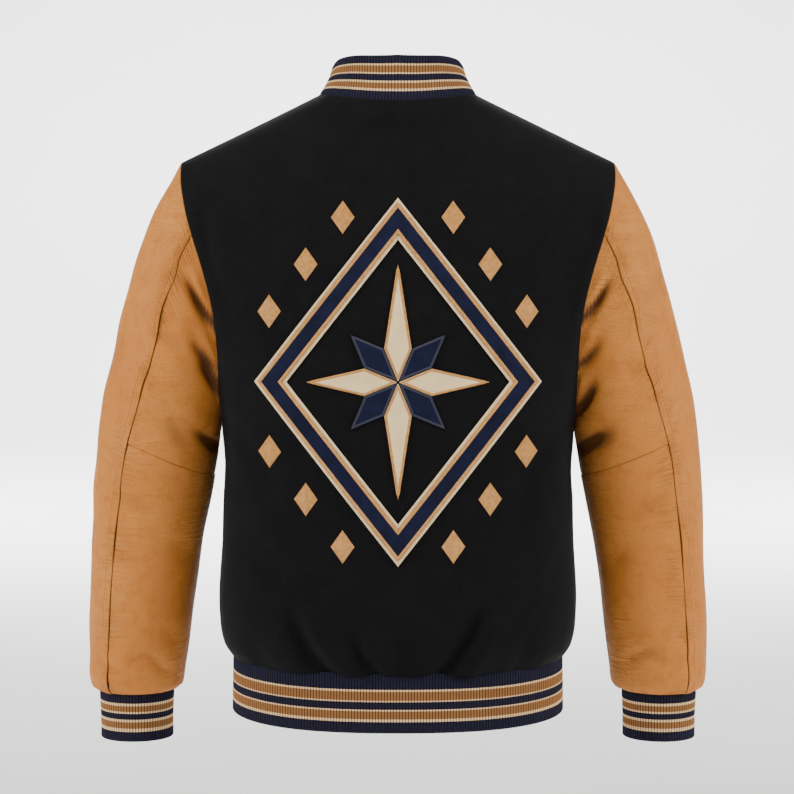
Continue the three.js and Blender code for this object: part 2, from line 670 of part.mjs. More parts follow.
// The hem band runs from under the left front, round by the wearer's right and the back, and ends
// over itself at the front
function hemBand() {
  const loop = (level) => {
    const growth = HEM_BOTTOM_GROWTH * (1 - level);
    const z = HEM_SEAM_Z - SEAM_GAP - HEM_HEIGHT * (1 - level);
    const points = Array.from({ length: 4 * ARC_STEPS + 1 }, (_, i) => {
      const turn = -Math.PI / 2 * i / ARC_STEPS;
      const part = (value) => Math.sign(value) * Math.abs(value) ** (2 / OBLONG_POWER);
      return new THREE.Vector3(
        (HEM_HALF_WIDTH + growth) * part(Math.sin(turn)),
        -(HEM_HALF_DEPTH + growth) * part(Math.cos(turn)),
        z,
      );
    });
    return alongLine(points);
  };
  const loops = [loop(0), loop(1)];
  const round = loops[0].wholeLength;
  const whole = round + 2 * OVERLAP;
  const place = (share, level) => {
    const distance = share * whole - OVERLAP;
    const at = (d) => loops[level](((d / round) % 1 + 1) % 1);
    const along = at(distance + 1).sub(at(distance - 1)).normalize();
    const inward = new THREE.Vector3(along.y, -along.x, 0);
    const point = at(distance);
    if (inward.dot(point) > 0) inward.negate();
    point.z -= hemSag(point.y, HEM_SEAM_Z);
    point.addScaledVector(inward, underlap(distance, RIB_KNIT + 2 * SEAM_GAP));
    return { point, inward };
  };
  const ribs = Math.round(whole / RIB_PITCH);
  return ribBand(place, ribs, evenShares(HEM_INNER_FACES + 1));
}

// The collar stands on the neck seam, tallest at the centre back, and its ends are rounded
function collar() {
  const columnTurn = NECK_KNOT / COLLAR_COLUMNS_PER_KNOT;
  const endTurn = COLLAR_END_COLUMN * columnTurn;
  const seam = (turn) => {
    const point = neckPoint(Math.abs(turn));
    point.x *= Math.sign(turn);
    return point;
  };
  const place = (share, level) => {
    const turn = mix(-endTurn, endTurn, share);
    const outward = new THREE.Vector3(Math.sin(radians(turn)), Math.cos(radians(turn)), 0);
    const along = seam(turn + 0.5).sub(seam(turn - 0.5)).normalize();
    const up = outward.clone().cross(along).normalize();
    if (up.z < 0) up.negate();
    const point = seam(turn).addScaledVector(up, SEAM_GAP);
    if (level === 1) {
      const shape = COLLAR(Math.abs(turn));
      const fromEnd = Math.min((endTurn - Math.abs(turn)) / COLLAR_ROUND_TURN, 1);
      const rounding = mix(COLLAR_END_SHARE, 1, Math.sqrt(1 - (1 - fromEnd) ** 2));
      point.z += shape.rise * rounding;
      point.y -= shape.forward * rounding;
      point.addScaledVector(outward, -shape.inward * rounding);
    }
    return { point, inward: outward.negate() };
  };
  const knots = Array.from({ length: 2 * Math.floor(endTurn / NECK_KNOT) + 1 }, (_, i) => (
    (i - Math.floor(endTurn / NECK_KNOT)) * NECK_KNOT));
  const insideShares = [0, ...knots.map((turn) => (turn + endTurn) / (2 * endTurn)), 1];
  return ribBand(place, COLLAR_END_COLUMN, insideShares);
}

// A domed snap cap, its back on the XZ plane and its dome towards +Y
function snapCap() {
  const profile = [
    [0, 0], [0.95, 0], [1, 0.25], [0.8, 0.75], [0.45, 0.95], [0, 1],
  ].map(([across, up]) => new THREE.Vector2(SNAP_RADIUS * across, SNAP_HEIGHT * up));
  return new THREE.LatheGeometry(profile, SNAP_SIDES);
}

// Where a snap sits: on the left front's centre line, or on the hem band below it, and which way it faces
function snapSeat(z) {
  const column = frontRows().map((row) => row[1]);
  const above = column.findIndex((point) => point.z > z);
  if (above <= 0) {
    return { y: -HEM_HALF_DEPTH - HEM_BOTTOM_GROWTH - SEAM_GAP, facing: new THREE.Vector3(0, -1, 0) };
  }
  const [low, high] = [column[above - 1], column[above]];
  const y = mix(low.y, high.y, (z - low.z) / (high.z - low.z));
  const facing = new THREE.Vector3(0, -(high.z - low.z), high.y - low.y).normalize();
  return { y: y - SEAM_GAP, facing };
}

// How far back the panel's own facets lie at a place seen from behind
const BACK_ROWS = halfRows('back');

function backDepth(x, z) {
  const above = BACK_ROWS.findIndex((row) => row[0].z > z);
  const [low, high] = [BACK_ROWS[above - 1], BACK_ROWS[above]];
  const share = (z - low[0].z) / (high[0].z - low[0].z);
  const line = low.map((point, j) => point.clone().lerp(high[j], share));
  const next = Math.max(line.findIndex((point) => point.x > Math.abs(x)), 1);
  return mix(line[next - 1].y, line[next].y, (Math.abs(x) - line[next - 1].x) / (line[next].x - line[next - 1].x));
}

// A place on the back, at a height over its cloth
function onBack(x, z, height) {
  const slope = (low, high) => (low - high) / (2 * PATCH_FACING_REACH);
  const facing = new THREE.Vector3(
    slope(backDepth(x - PATCH_FACING_REACH, z), backDepth(x + PATCH_FACING_REACH, z)),
    1,
    slope(backDepth(x, z - PATCH_FACING_REACH), backDepth(x, z + PATCH_FACING_REACH)),
  ).normalize();
  return new THREE.Vector3(x, backDepth(x, z), z).addScaledVector(facing, height);
}

// One layer of felt over rows of places on the back
function feltLayer(rows, height, isRound = false) {
  const at = (up) => rows.map((row) => row.map(([x, above]) => onBack(x, PATCH_MIDDLE_Z + above, up)));
  return wall(at(height + FELT), at(height), { isRound });
}

const FRAME_CORNERS = [
  [0, FRAME_HALF_HEIGHT], [FRAME_HALF_WIDTH, 0], [0, -FRAME_HALF_HEIGHT], [-FRAME_HALF_WIDTH, 0],
];

function frameSide(side, along, scale) {
  const [from, to] = [FRAME_CORNERS[side], FRAME_CORNERS[(side + 1) % FRAME_CORNERS.length]];
  return [scale * mix(from[0], to[0], along), scale * mix(from[1], to[1], along)];
}

function frameLayer([inside, outside], height) {
  const scales = evenShares(FRAME_STRIPS + 1).map((share) => mix(inside, outside, share));
  const rows = scales.map((scale) => FRAME_CORNERS.flatMap((_, side) => (
    Array.from({ length: FRAME_STEPS }, (_step, i) => frameSide(side, i / FRAME_STEPS, scale)))));
  return feltLayer(rows, height, true);
}

// A flat shape with a straight axis: its half-width at each station along that axis
function spindle([x, up], directionTurn, stations) {
  const along = [Math.sin(directionTurn), Math.cos(directionTurn)];
  const rows = stations.map(([distance, halfWidth]) => [-1, 0, 1].map((side) => [
    x + along[0] * distance + along[1] * side * halfWidth,
    up + along[1] * distance - along[0] * side * halfWidth,
  ]));
  return feltLayer(rows, PATCH_GAP);
}

function starPoint(number) {
  const halfAngle = Math.PI / STAR_POINTS;
  const reach = [STAR_REACH.upright, STAR_REACH.slanting, STAR_REACH.level, STAR_REACH.slanting][number % 4];
  const wide = STAR_SHOULDER * Math.tan(halfAngle) - SEAM_GAP;
  const inner = [STAR_START, STAR_SHOULDER / 2].map((r) => [r, r * Math.tan(halfAngle) - SEAM_GAP]);
  const outer = Array.from({ length: STAR_STEPS }, (_, i) => {
    const share = i / (STAR_STEPS - 1);
    return [mix(STAR_SHOULDER, reach, share), wide * (1 - share)];
  });
  return spindle([0, 0], 2 * halfAngle * number, [...inner, ...outer]);
}

function lozenge(side, along) {
  const stations = [[-LOZENGE_HALF_HEIGHT, 0], [0, LOZENGE_HALF_WIDTH], [LOZENGE_HALF_HEIGHT, 0]];
  return spindle(frameSide(side, along, LOZENGE_FROM_MIDDLE), 0, stations);
}

const jacket = new THREE.Group();

function add(name, geometry, material, group = jacket) {
  const mesh = new THREE.Mesh(geometry, MATERIALS[material]);
  mesh.name = name;
  group.add(mesh);
  return mesh;
}

function geometryOf({ outer, inner }) {
  return wall(outer, inner);
}

add('back_panel', backPanel(), 'wool');
add('front_left', frontLeft(), 'wool');
add('front_right', frontRight(), 'wool');

for (const [piece, surfaces] of Object.entries(sleevePieces())) {
  add(`sleeve_${piece}_left`, geometryOf(surfaces), 'leather');
  add(`sleeve_${piece}_right`, geometryOf(mirroredSurfaces(surfaces)), 'leather');
}

add('cuff_left', cuff(1), 'rib');
add('cuff_right', cuff(-1), 'rib');
add('hem_rib', hemBand(), 'rib');
add('collar_rib', collar(), 'rib');

const snaps = new THREE.Group();
for (let i = 0; i < SNAP_COUNT; i += 1) {
  const z = mix(SNAP_FIRST_Z, SNAP_LAST_Z, i / (SNAP_COUNT - 1));
  const { y, facing } = snapSeat(z);
  const snap = add(`snap_${i + 1}`, snapCap(), 'snap', snaps);
  snap.position.set(0, y, z);
  snap.quaternion.setFromUnitVectors(new THREE.Vector3(0, 1, 0), facing);
}
jacket.add(snaps);

const applique = new THREE.Group();
add('applique_frame_base', frameLayer(FRAME_BASE_SHARE, PATCH_GAP), 'feltCream', applique);
add('applique_frame_top', frameLayer(FRAME_TOP_SHARE, PATCH_GAP + FELT + LAYER_GAP), 'feltNavy', applique);
for (let i = 0; i < STAR_POINTS; i += 1) {
  add(`applique_star_${i + 1}`, starPoint(i), i % 2 ? 'feltNavy' : 'feltCream', applique);
}
FRAME_CORNERS.forEach((_, side) => [-1, 0, 1].forEach((step, i) => {
  add(`applique_lozenge_${3 * side + i + 1}`, lozenge(side, 0.5 + LOZENGE_SPREAD * step), 'feltGold', applique);
}));
jacket.add(applique);

export default jacket;
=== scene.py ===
"""A varsity jacket filled out as if worn, seen from behind.

The back faces +Y and the wearer's left is +X. Sizes and places in the tables are millimetres in the
same frame as the solids, and a piece's points are laid in metres.
"""
import math

import bpy
import numpy as np
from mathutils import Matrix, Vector
from mathutils.bvhtree import BVHTree


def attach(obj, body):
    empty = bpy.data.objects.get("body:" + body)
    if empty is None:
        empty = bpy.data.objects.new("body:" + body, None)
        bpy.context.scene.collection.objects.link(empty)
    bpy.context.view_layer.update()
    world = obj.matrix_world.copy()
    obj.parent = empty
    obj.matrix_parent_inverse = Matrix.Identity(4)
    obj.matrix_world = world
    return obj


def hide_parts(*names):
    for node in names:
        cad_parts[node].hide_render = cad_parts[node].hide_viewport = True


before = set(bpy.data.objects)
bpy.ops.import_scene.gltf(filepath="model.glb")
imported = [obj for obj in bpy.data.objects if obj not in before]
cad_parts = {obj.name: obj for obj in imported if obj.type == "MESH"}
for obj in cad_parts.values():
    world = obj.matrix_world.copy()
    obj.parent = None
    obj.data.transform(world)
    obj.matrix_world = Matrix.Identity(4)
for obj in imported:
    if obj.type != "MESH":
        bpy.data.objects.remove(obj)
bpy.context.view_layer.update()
bpy.ops.object.select_all(action="DESELECT")


# Back panel: one piece of black melton wool, 2 mm thick, with a short nap. It is joined to the
# fronts at the shoulders and sides, and to the sleeves and ribs, by plain seams that roll in.

WOOL_THICKNESS = 2.0
OBLONG_POWER = 2.5
SIDE = {"back": 1, "front": -1}
HEM_SEAM_Z = -592
ARMHOLE_TOP_Z = -68
ARMHOLE_BOTTOM_Z = -343.5
ARMHOLE_MIDDLE_Z = (ARMHOLE_TOP_Z + ARMHOLE_BOTTOM_Z) / 2
ARMHOLE_HALF_HEIGHT = (ARMHOLE_TOP_Z - ARMHOLE_BOTTOM_Z) / 2
ARMHOLE_DEPTH = 60
BLADE_TURN = 44
NECK_HALF_WIDTH = 84
NECK_HALF_DEPTH = 72
NECK_MIDDLE_Y = -10
NECK_BACK_Z = -8
NECK_POINT_Z = 4
NECK_FRONT_Z = -88
NECK_FRONT_POWER = 1.7
NECK_SHARE = 0.4
NECK_END_TURN = 30
SHOULDER_BOW = -0.5
HEM_SAG = 6
HEM_SAG_FROM_Z = -470
YOKE_PULL_FROM = 0.7


def smooth_track(places, values):
    """A curve through a table's values that doesn't overshoot them."""
    places, values = np.array(places, float), np.array(values, float)
    steps = np.diff(values) / np.diff(places)
    before, after = np.append(steps[0], steps), np.append(steps, steps[-1])
    same_way = before * after > 0
    slopes = np.where(same_way, 2 * before * after / np.where(same_way, before + after, 1), 0)

    def track(place):
        at = np.clip(place, places[0], places[-1])
        i = np.clip(np.searchsorted(places, at, side="right") - 1, 0, len(places) - 2)
        span = places[i + 1] - places[i]
        s = (at - places[i]) / span
        low = (1 + 2 * s) * (1 - s) ** 2 * values[i] + s * (1 - s) ** 2 * span * slopes[i]
        high = s * s * (3 - 2 * s) * values[i + 1] + s * s * (s - 1) * span * slopes[i + 1]
        return low + high

    return track


def smooth_table(columns, rows):
    """One curve for each named column, over the first column."""
    places = [row[0] for row in rows]
    return {
        name: smooth_track(places, [row[k + 1] for row in rows])
        for k, name in enumerate(columns[1:])
    }


BODY = smooth_table(["z", "side", "back", "front"], [
    (HEM_SEAM_Z, 177.6, 108.0, 108.0),
    (-578, 186.5, 115.0, 115.0),
    (-560, 190.0, 119.0, 118.5),
    (-533, 191.0, 120.5, 120.0),
    (-474, 188.3, 119.0, 121.0),
    (-428, 186.7, 118.0, 122.0),
    (-388, 185.0, 117.5, 122.5),
    (ARMHOLE_BOTTOM_Z, 188.3, 117.0, 121.5),
    (-300, 188.3, 116.0, 119.0),
    (-250, 188.3, 113.5, 114.0),
    (-200, 188.3, 108.5, 106.0),
    (-150, 188.3, 100.0, 96.0),
    (-105, 188.3, 88.0, 84.0),
])
ARMHOLE_REACH = smooth_table(["z", "back", "front"], [
    (ARMHOLE_BOTTOM_Z, 188.3, 188.3),
    (-290, 188.5, 186.5),
    (-245, 190.5, 187.0),
    (-214, 195.5, 190.5),
    (-171, 207.0, 200.0),
    (-148, 214.5, 208.0),
    (-121, 222.0, 217.0),
    (-90, 228.0, 226.0),
    (ARMHOLE_TOP_Z, 230.0, 230.0),
])


def ease(share):
    """A share held from 0 to 1, with a soft start and end."""
    share = np.clip(share, 0, 1)
    return share * share * (3 - 2 * share)


def armhole_point(turn):
    """The armhole seam at a turn from the shoulder tip, over the back to the underarm."""
    z = ARMHOLE_MIDDLE_Z + ARMHOLE_HALF_HEIGHT * np.cos(turn)
    reach = np.where(np.sin(turn) < 0, ARMHOLE_REACH["front"](z), ARMHOLE_REACH["back"](z))
    return np.stack([reach, ARMHOLE_DEPTH * np.sin(turn), z], -1)


def walk(line, shares):
    """Places at shares of a line's length."""
    lengths = np.append(0, np.cumsum(np.linalg.norm(np.diff(line, axis=0), axis=1)))
    return np.stack([np.interp(shares * lengths[-1], lengths, line[:, k]) for k in range(3)], -1)


def body_line(face, z):
    """Half of the body's level line, from the centre line to the side seam or armhole."""
    half_width, depth, end = float(BODY["side"](z)), float(BODY[face](z)), math.pi / 2
    if z > ARMHOLE_BOTTOM_Z:
        turn = math.acos((z - ARMHOLE_MIDDLE_Z) / ARMHOLE_HALF_HEIGHT)
        edge = armhole_point(SIDE[face] * turn)
        left = (1 - (abs(edge[1]) / depth) ** OBLONG_POWER) ** (1 / OBLONG_POWER)
        half_width = edge[0] / left
        end = math.asin(min(left ** (OBLONG_POWER / 2), 1))
    turns = np.linspace(0, end, 200)
    x = half_width * np.sin(turns) ** (2 / OBLONG_POWER)
    y = SIDE[face] * depth * np.maximum(np.cos(turns), 0) ** (2 / OBLONG_POWER)
    return np.stack([x, y, np.full_like(x, z)], -1)


def hem_sag(y, z):
    """How far the cloth hangs down at a place on the body, towards the centre back of the hem."""
    share = ease((HEM_SAG_FROM_Z - z) / (HEM_SAG_FROM_Z - HEM_SEAM_Z))
    return HEM_SAG * (np.maximum(y, 0) / float(BODY["back"](HEM_SEAM_Z))) ** 2 * share


def neck_point(turn):
    """The neck seam at a turn from the centre back, in radians."""
    turn = np.asarray(turn, float)
    back = NECK_BACK_Z + (NECK_POINT_Z - NECK_BACK_Z) * np.sin(turn) ** 2
    drop = np.abs(np.cos(turn)) ** NECK_FRONT_POWER
    front = NECK_POINT_Z + (NECK_FRONT_Z - NECK_POINT_Z) * drop
    z = np.where(np.cos(turn) > 0, back, front)
    x = NECK_HALF_WIDTH * np.sin(turn)
    y = NECK_MIDDLE_Y + NECK_HALF_DEPTH * np.cos(turn)
    return np.stack([x, y, z], -1)


def top_edge(face, shares):
    """Half of a panel's top edge: round the neck, then out along the shoulder seam."""
    turn = np.minimum(shares / NECK_SHARE, 1) * math.pi / 2
    along = np.clip((shares - NECK_SHARE) / (1 - NECK_SHARE), 0, 1)[:, None]
    neck = neck_point(turn if face == "back" else math.pi - turn)
    edge = neck + (armhole_point(0.0) - neck) * along
    edge[:, 2] += SHOULDER_BOW * np.sin(math.pi * along[:, 0])
    return edge


def yoke_row(face, shares, turn):
    """A row between the shoulder blades' level and the top edge, where the cloth rounds over."""
    blade = math.radians(BLADE_TURN)
    low = walk(body_line(face, ARMHOLE_MIDDLE_Z + ARMHOLE_HALF_HEIGHT * math.cos(blade)), shares)
    top = top_edge(face, shares)
    end = np.radians(NECK_END_TURN * np.maximum(1 - shares / NECK_SHARE, 0))
    at = end + (blade - end) * turn / blade
    rise = (np.cos(at) - math.cos(blade)) / (np.cos(end) - math.cos(blade))
    stay = (np.sin(at) - np.sin(end)) / (math.sin(blade) - np.sin(end))
    row = np.stack([
        low[:, 0] + (top[:, 0] - low[:, 0]) * rise,
        top[:, 1] + (low[:, 1] - top[:, 1]) * stay,
        low[:, 2] + (top[:, 2] - low[:, 2]) * rise,
    ], -1)
    to_armhole = armhole_point(SIDE[face] * turn) - row[-1]
    return row + to_armhole * ease((shares - YOKE_PULL_FROM) / (1 - YOKE_PULL_FROM))[:, None]


NEAR_SEAM = np.array([0, 0.4, 0.9, 1.6, 2.5, 3.6])


def spaced(length, step, dense_start=True, dense_end=True):
    """Shares of a length, one step apart, and closer where a seam rolls the cloth in."""
    start = NEAR_SEAM if dense_start else NEAR_SEAM[:1]
    end = length - NEAR_SEAM[::-1] if dense_end else np.array([length])
    middle = np.linspace(start[-1], end[0], max(round((end[0] - start[-1]) / step), 1) + 1)[1:-1]
    return np.concatenate([start, middle, end]) / length


PANEL_STEP = 4.6
HALF_GIRTH = 330
SIDE_SEAM_HEIGHT = 248
ARMHOLE_CURVE = 300
PANEL_SHARES = spaced(HALF_GIRTH, PANEL_STEP, dense_start=False)
SIDE_SEAM_SHARES = spaced(SIDE_SEAM_HEIGHT, PANEL_STEP, dense_end=False)
BELOW_ARMHOLE = HEM_SEAM_Z + (ARMHOLE_BOTTOM_Z - HEM_SEAM_Z) * SIDE_SEAM_SHARES
ARMHOLE_ROWS = math.pi * (1 - spaced(ARMHOLE_CURVE, PANEL_STEP, dense_start=False))


def half_panel(face, shares):
    """The smooth form of the wearer's left half of a face, in rows from the hem to the shoulder."""
    rows = [walk(body_line(face, z), shares) for z in BELOW_ARMHOLE]
    for turn in ARMHOLE_ROWS[1:]:
        if turn > math.radians(BLADE_TURN):
            z = ARMHOLE_MIDDLE_Z + ARMHOLE_HALF_HEIGHT * math.cos(turn)
            rows.append(walk(body_line(face, z), shares))
        else:
            rows.append(yoke_row(face, shares, turn))
    form = np.array(rows)
    form[..., 2] -= hem_sag(form[..., 1], form[..., 2])
    return form


def directions(points):
    """Unit vectors across the surface of a grid of points."""
    across, up = np.gradient(points, axis=1), np.gradient(points, axis=0)
    out = np.cross(across, up)
    return out / np.maximum(np.linalg.norm(out, axis=-1, keepdims=True), 1e-9)


def from_edge(points, axis, at_end=False):
    """How far each point lies along its row or column from that line's start or end."""
    steps = np.linalg.norm(np.diff(points, axis=axis), axis=-1)
    first = np.zeros_like(np.take(steps, [0], axis=axis))
    lengths = np.concatenate([first, np.cumsum(steps, axis=axis)], axis=axis)
    return np.take(lengths, [-1], axis=axis) - lengths if at_end else lengths


def rolled(distance, width, depth):
    """How far in the cloth goes at a distance from a seam that rolls it over a width."""
    return depth * (1 - np.sqrt(1 - (1 - np.clip(distance / width, 0, 1)) ** 2))


CREASE_END_DEPTH = 0.35
RIDGE_AWAY = 1.9
RIDGE_WIDTH = 1.3


def creases(table, x, z):
    """The depth of listed creases: a trough along a bowed line with a soft ridge beside it. A row is
    x1, z1, x2, z2, bow, half-width, depth, and the share of the depth that the ridge has."""
    total = np.zeros_like(x)
    for x1, z1, x2, z2, bow, half_width, depth, ridge in table:
        length = math.hypot(x2 - x1, z2 - z1)
        ax, az = (x2 - x1) / length, (z2 - z1) / length
        along = ((x - x1) * ax + (z - z1) * az) / length
        inside = np.clip(along, 0, 1)
        across = (x - x1) * az - (z - z1) * ax - bow * 4 * inside * (1 - inside)
        past = (along - inside) * length
        fullness = CREASE_END_DEPTH + (1 - CREASE_END_DEPTH) * np.sin(math.pi * inside) ** 0.7
        fade = np.exp(-(past / half_width) ** 2) * fullness
        trough = np.exp(-(across / half_width) ** 2)
        off_ridge = (across - RIDGE_AWAY * half_width) / (RIDGE_WIDTH * half_width)
        total += depth * fade * (trough - ridge * np.exp(-off_ridge ** 2))
    return total


RIPPLE_COUNT = 7


def ripples(x, y, z, length, seed):
    """Low uneven waves, from a few sines whose directions and phases are fixed by the seed."""
    random = np.random.default_rng(seed)
    total = np.zeros_like(x)
    for _ in range(RIPPLE_COUNT):
        way = random.normal(size=3)
        way /= np.linalg.norm(way)
        wave = length * random.uniform(0.6, 1.7)
        phase = random.uniform(0, 2 * math.pi)
        total += np.sin(2 * math.pi * (way[0] * x + way[1] * y + way[2] * z) / wave + phase)
    return total / RIPPLE_COUNT


BACK_FADE = 22
BACK_GATHERS = 1.3
BACK_CREASES = [
    (-84, -532, -32, -606, 6, 9, 4.6, 0.6),
    (108, -536, 60, -606, -7, 10, 4.0, 0.6),
    (46, -556, 14, -604, -4, 8, 3.0, 0.5),
    (-8, -565, 4, -600, 2, 10, 1.5, 0.3),
    (-135, -560, -118, -598, 3, 11, 2.0, 0.3),
    (150, -566, 134, -598, -3, 11, 1.8, 0.3),
    (-206, -112, -188, -236, 6, 12, 2.6, 0.5),
    (204, -118, 187, -226, -6, 12, 2.3, 0.5),
    (-183, -150, -166, -262, 5, 14, 1.6, 0.3),
    (180, -170, 166, -270, -4, 14, 1.4, 0.3),
    (-172, -346, -128, -424, -6, 14, 2.3, 0.4),
    (170, -350, 134, -412, 6, 13, 2.0, 0.4),
    (-176, -396, -120, -452, -5, 15, 1.5, 0.3),
    (174, -470, 120, -505, 5, 18, 1.4, 0.3),
    (-60, -36, 60, -34, 5, 12, 1.2, 0.2),
    (-150, -66, -96, -58, 4, 12, 0.9, 0.2),
    (150, -66, 100, -58, -4, 12, 0.9, 0.2),
]


GATHER_WAVES = 5
GATHER_REACH = 16
GATHER_START = 4


def puckered(points, distance, pitch, depth, seed):
    """Small gathers where cloth is eased into a rib, fading with the distance from it."""
    along = from_edge(points, 1)
    random = np.random.default_rng(seed)
    wave = sum(
        np.sin(2 * math.pi * along / (pitch * random.uniform(0.6, 1.9)) + random.uniform(0, 6.3))
        for _ in range(GATHER_WAVES)
    ) / GATHER_WAVES
    return depth * wave * np.exp(-distance / GATHER_REACH) * ease(distance / GATHER_START)


WOOL_SEAM_ROLL = (3.2, 0.8)
WOOL_CREASE_SCALE = 1.35
DEEP_WOOL_CREASE = 4.5
WOOL_WAVE_DEPTH = 0.9
WOOL_WAVE_LENGTH = 120
WOOL_GATHER_PITCH = 23


def seam_roll(points):
    """How far a wool panel's points roll in at its side and upper seams."""
    to_side = np.minimum(from_edge(points, 1), from_edge(points, 1, True))
    return rolled(np.minimum(to_side, from_edge(points, 0, True)), *WOOL_SEAM_ROLL)


def shaped(points, roll, table, seed, fade_reach, gathers):
    """A wool panel's form with its creases, low waves, gathers above the hem and rolled seams, and how
    deep in a crease each point is, which its finish paints as shade."""
    out = directions(points)
    if np.sum(out[..., 1] * points[..., 1]) < 0:
        out = -out
    fade = np.ones(points.shape[:2])
    for axis, at_end in ((1, False), (1, True), (0, True)):
        fade = fade * ease(from_edge(points, axis, at_end) / fade_reach)
    x, y, z = points[..., 0], points[..., 1], points[..., 2]
    depth = WOOL_CREASE_SCALE * creases(table, x, z) * fade
    # How much painted shade the finish gives each point, from how deep in a crease it lies
    crease = np.clip(depth / DEEP_WOOL_CREASE, 0, 1)
    depth += WOOL_WAVE_DEPTH * ripples(x, y, z, WOOL_WAVE_LENGTH, seed) * fade
    depth += puckered(points, from_edge(points, 0), WOOL_GATHER_PITCH, gathers, seed + 1)
    return points - out * (depth + roll)[..., None], crease


def lay_cloth(name, points, uv=None, flip=False, crease=None):
    """A grid whose points are laid at the given places, which are rows of millimetres. The crease is
    how much painted shade each point's finish gets, from 0 to 1: how deep in a fold it is, and on a
    sleeve also the painted shade of its inner side."""
    rows, columns = points.shape[:2]
    bpy.ops.mesh.primitive_grid_add(x_subdivisions=columns - 1, y_subdivisions=rows - 1, size=1)
    cloth = bpy.context.object
    cloth.name = cloth.data.name = name
    cloth.data.vertices.foreach_set("co", (points * 0.001).reshape(-1).astype(np.float32))
    if uv is not None:
        corners = np.zeros(len(cloth.data.loops), int)
        cloth.data.loops.foreach_get("vertex_index", corners)
        flat = uv.reshape(-1, 2)[corners].astype(np.float32)
        cloth.data.uv_layers.active.data.foreach_set("uv", flat.reshape(-1))
    if crease is not None:
        depth = cloth.data.attributes.new("crease", "FLOAT", "POINT")
        depth.data.foreach_set("value", crease.reshape(-1).astype(np.float32))
    if flip:
        cloth.data.flip_normals()
    cloth.data.update()
    bpy.ops.object.shade_smooth()
    return cloth


CUT_EDGE_ANGLE = 50


def thickened(cloth, thickness):
    """The cloth's thickness, on its inner side."""
    solidify = cloth.modifiers.new("thickness", "SOLIDIFY")
    solidify.thickness = thickness * 0.001
    solidify.offset = -1
    bpy.context.view_layer.objects.active = cloth
    bpy.ops.object.modifier_apply(modifier=solidify.name)
    bpy.ops.object.shade_smooth_by_angle(angle=math.radians(CUT_EDGE_ANGLE))
    return cloth


def faces_out(points, away_from):
    """Whether a grid's own normals point away from the middle of the piece."""
    out = np.cross(np.gradient(points, axis=1), np.gradient(points, axis=0))
    return np.sum(out * (points - away_from)) > 0


class Wire:
    """One output of a material's nodes. Sums and products of wires add Math nodes."""

    def __init__(self, tree, output):
        self.tree, self.output = tree, output

    def node(self, kind, settings=None, sockets=None, output=0):
        """A node of a kind, with its settings, the values or wires of its sockets, and one output."""
        made = self.tree.nodes.new("ShaderNode" + kind)
        for name, value in (settings or {}).items():
            if name == "stops":
                ramp = made.color_ramp
                while len(ramp.elements) < len(value):
                    ramp.elements.new(1)
                for element, (place, colour) in zip(ramp.elements, value):
                    element.position, element.color = place, colour
            elif name == "interpolation":
                made.color_ramp.interpolation = value
            else:
                setattr(made, name, value)
        for name, value in (sockets or {}).items():
            if isinstance(value, Wire):
                self.tree.links.new(value.output, made.inputs[name])
            else:
                made.inputs[name].default_value = value
        return Wire(self.tree, made.outputs[output])

    def math(self, operation, first, second=0.0):
        """What an operation makes of two numbers or wires."""
        return self.node("Math", {"operation": operation}, {0: first, 1: second})

    def __add__(self, other):
        return self.math("ADD", self, other)

    def __sub__(self, other):
        return self.math("SUBTRACT", self, other)

    def __rsub__(self, other):
        return self.math("SUBTRACT", other, self)

    def __mul__(self, other):
        return self.math("MULTIPLY", self, other)

    __radd__ = __add__
    __rmul__ = __mul__

    def above(self, low, high):
        """0 below the low value and 1 above the high one, with a soft step between."""
        ends = {"Value": self, "From Min": low, "From Max": high, "To Min": 0.0, "To Max": 1.0}
        return self.node("MapRange", {"interpolation_type": "SMOOTHSTEP"}, ends)

    def blend(self, first, second):
        """From the first colour to the second as this wire goes from 0 to 1."""
        return self.node("Mix", {"data_type": "RGBA"}, {0: self, 6: first, 7: second}, 2)

    def noise(self, scale, detail=3.0, roughness=0.5):
        """Cloudy noise over the places that this wire carries."""
        settings = {"noise_dimensions": "3D"}
        return self.node("TexNoise", settings, {
            "Vector": self, "Scale": scale, "Detail": detail, "Roughness": roughness})

    def stretched(self, x, y, z):
        """The places that this wire carries, scaled along each axis."""
        return self.node("Mapping", {}, {"Vector": self, "Scale": (x, y, z)})


def linear(value):
    """The light in one of a screen colour's values, which go from 0 to 255."""
    return ((value / 255 + 0.055) / 1.055) ** 2.4 if value > 10 else value / 3295


def colour(red, green, blue):
    """A colour given as it shows on screen."""
    return linear(red), linear(green), linear(blue), 1.0


def finish(name, recipe, **fixed):
    """A material from a recipe, which is given the piece's own places and returns the wires that
    vary. What is the same all over is set on the shader's own sockets."""
    material = bpy.data.materials.new(name)
    material.use_nodes = True
    tree = material.node_tree
    tree.nodes.clear()
    shader = tree.nodes.new("ShaderNodeBsdfPrincipled")
    for socket, value in fixed.items():
        shader.inputs[socket.replace("_", " ")].default_value = value
    place = Wire(tree, None).node("TexCoord", {}, {}, "Object")
    for socket, wire in recipe(place).items():
        tree.links.new(wire.output, shader.inputs[socket])
    surface = tree.nodes.new("ShaderNodeOutputMaterial")
    tree.links.new(shader.outputs[0], surface.inputs["Surface"])
    return material


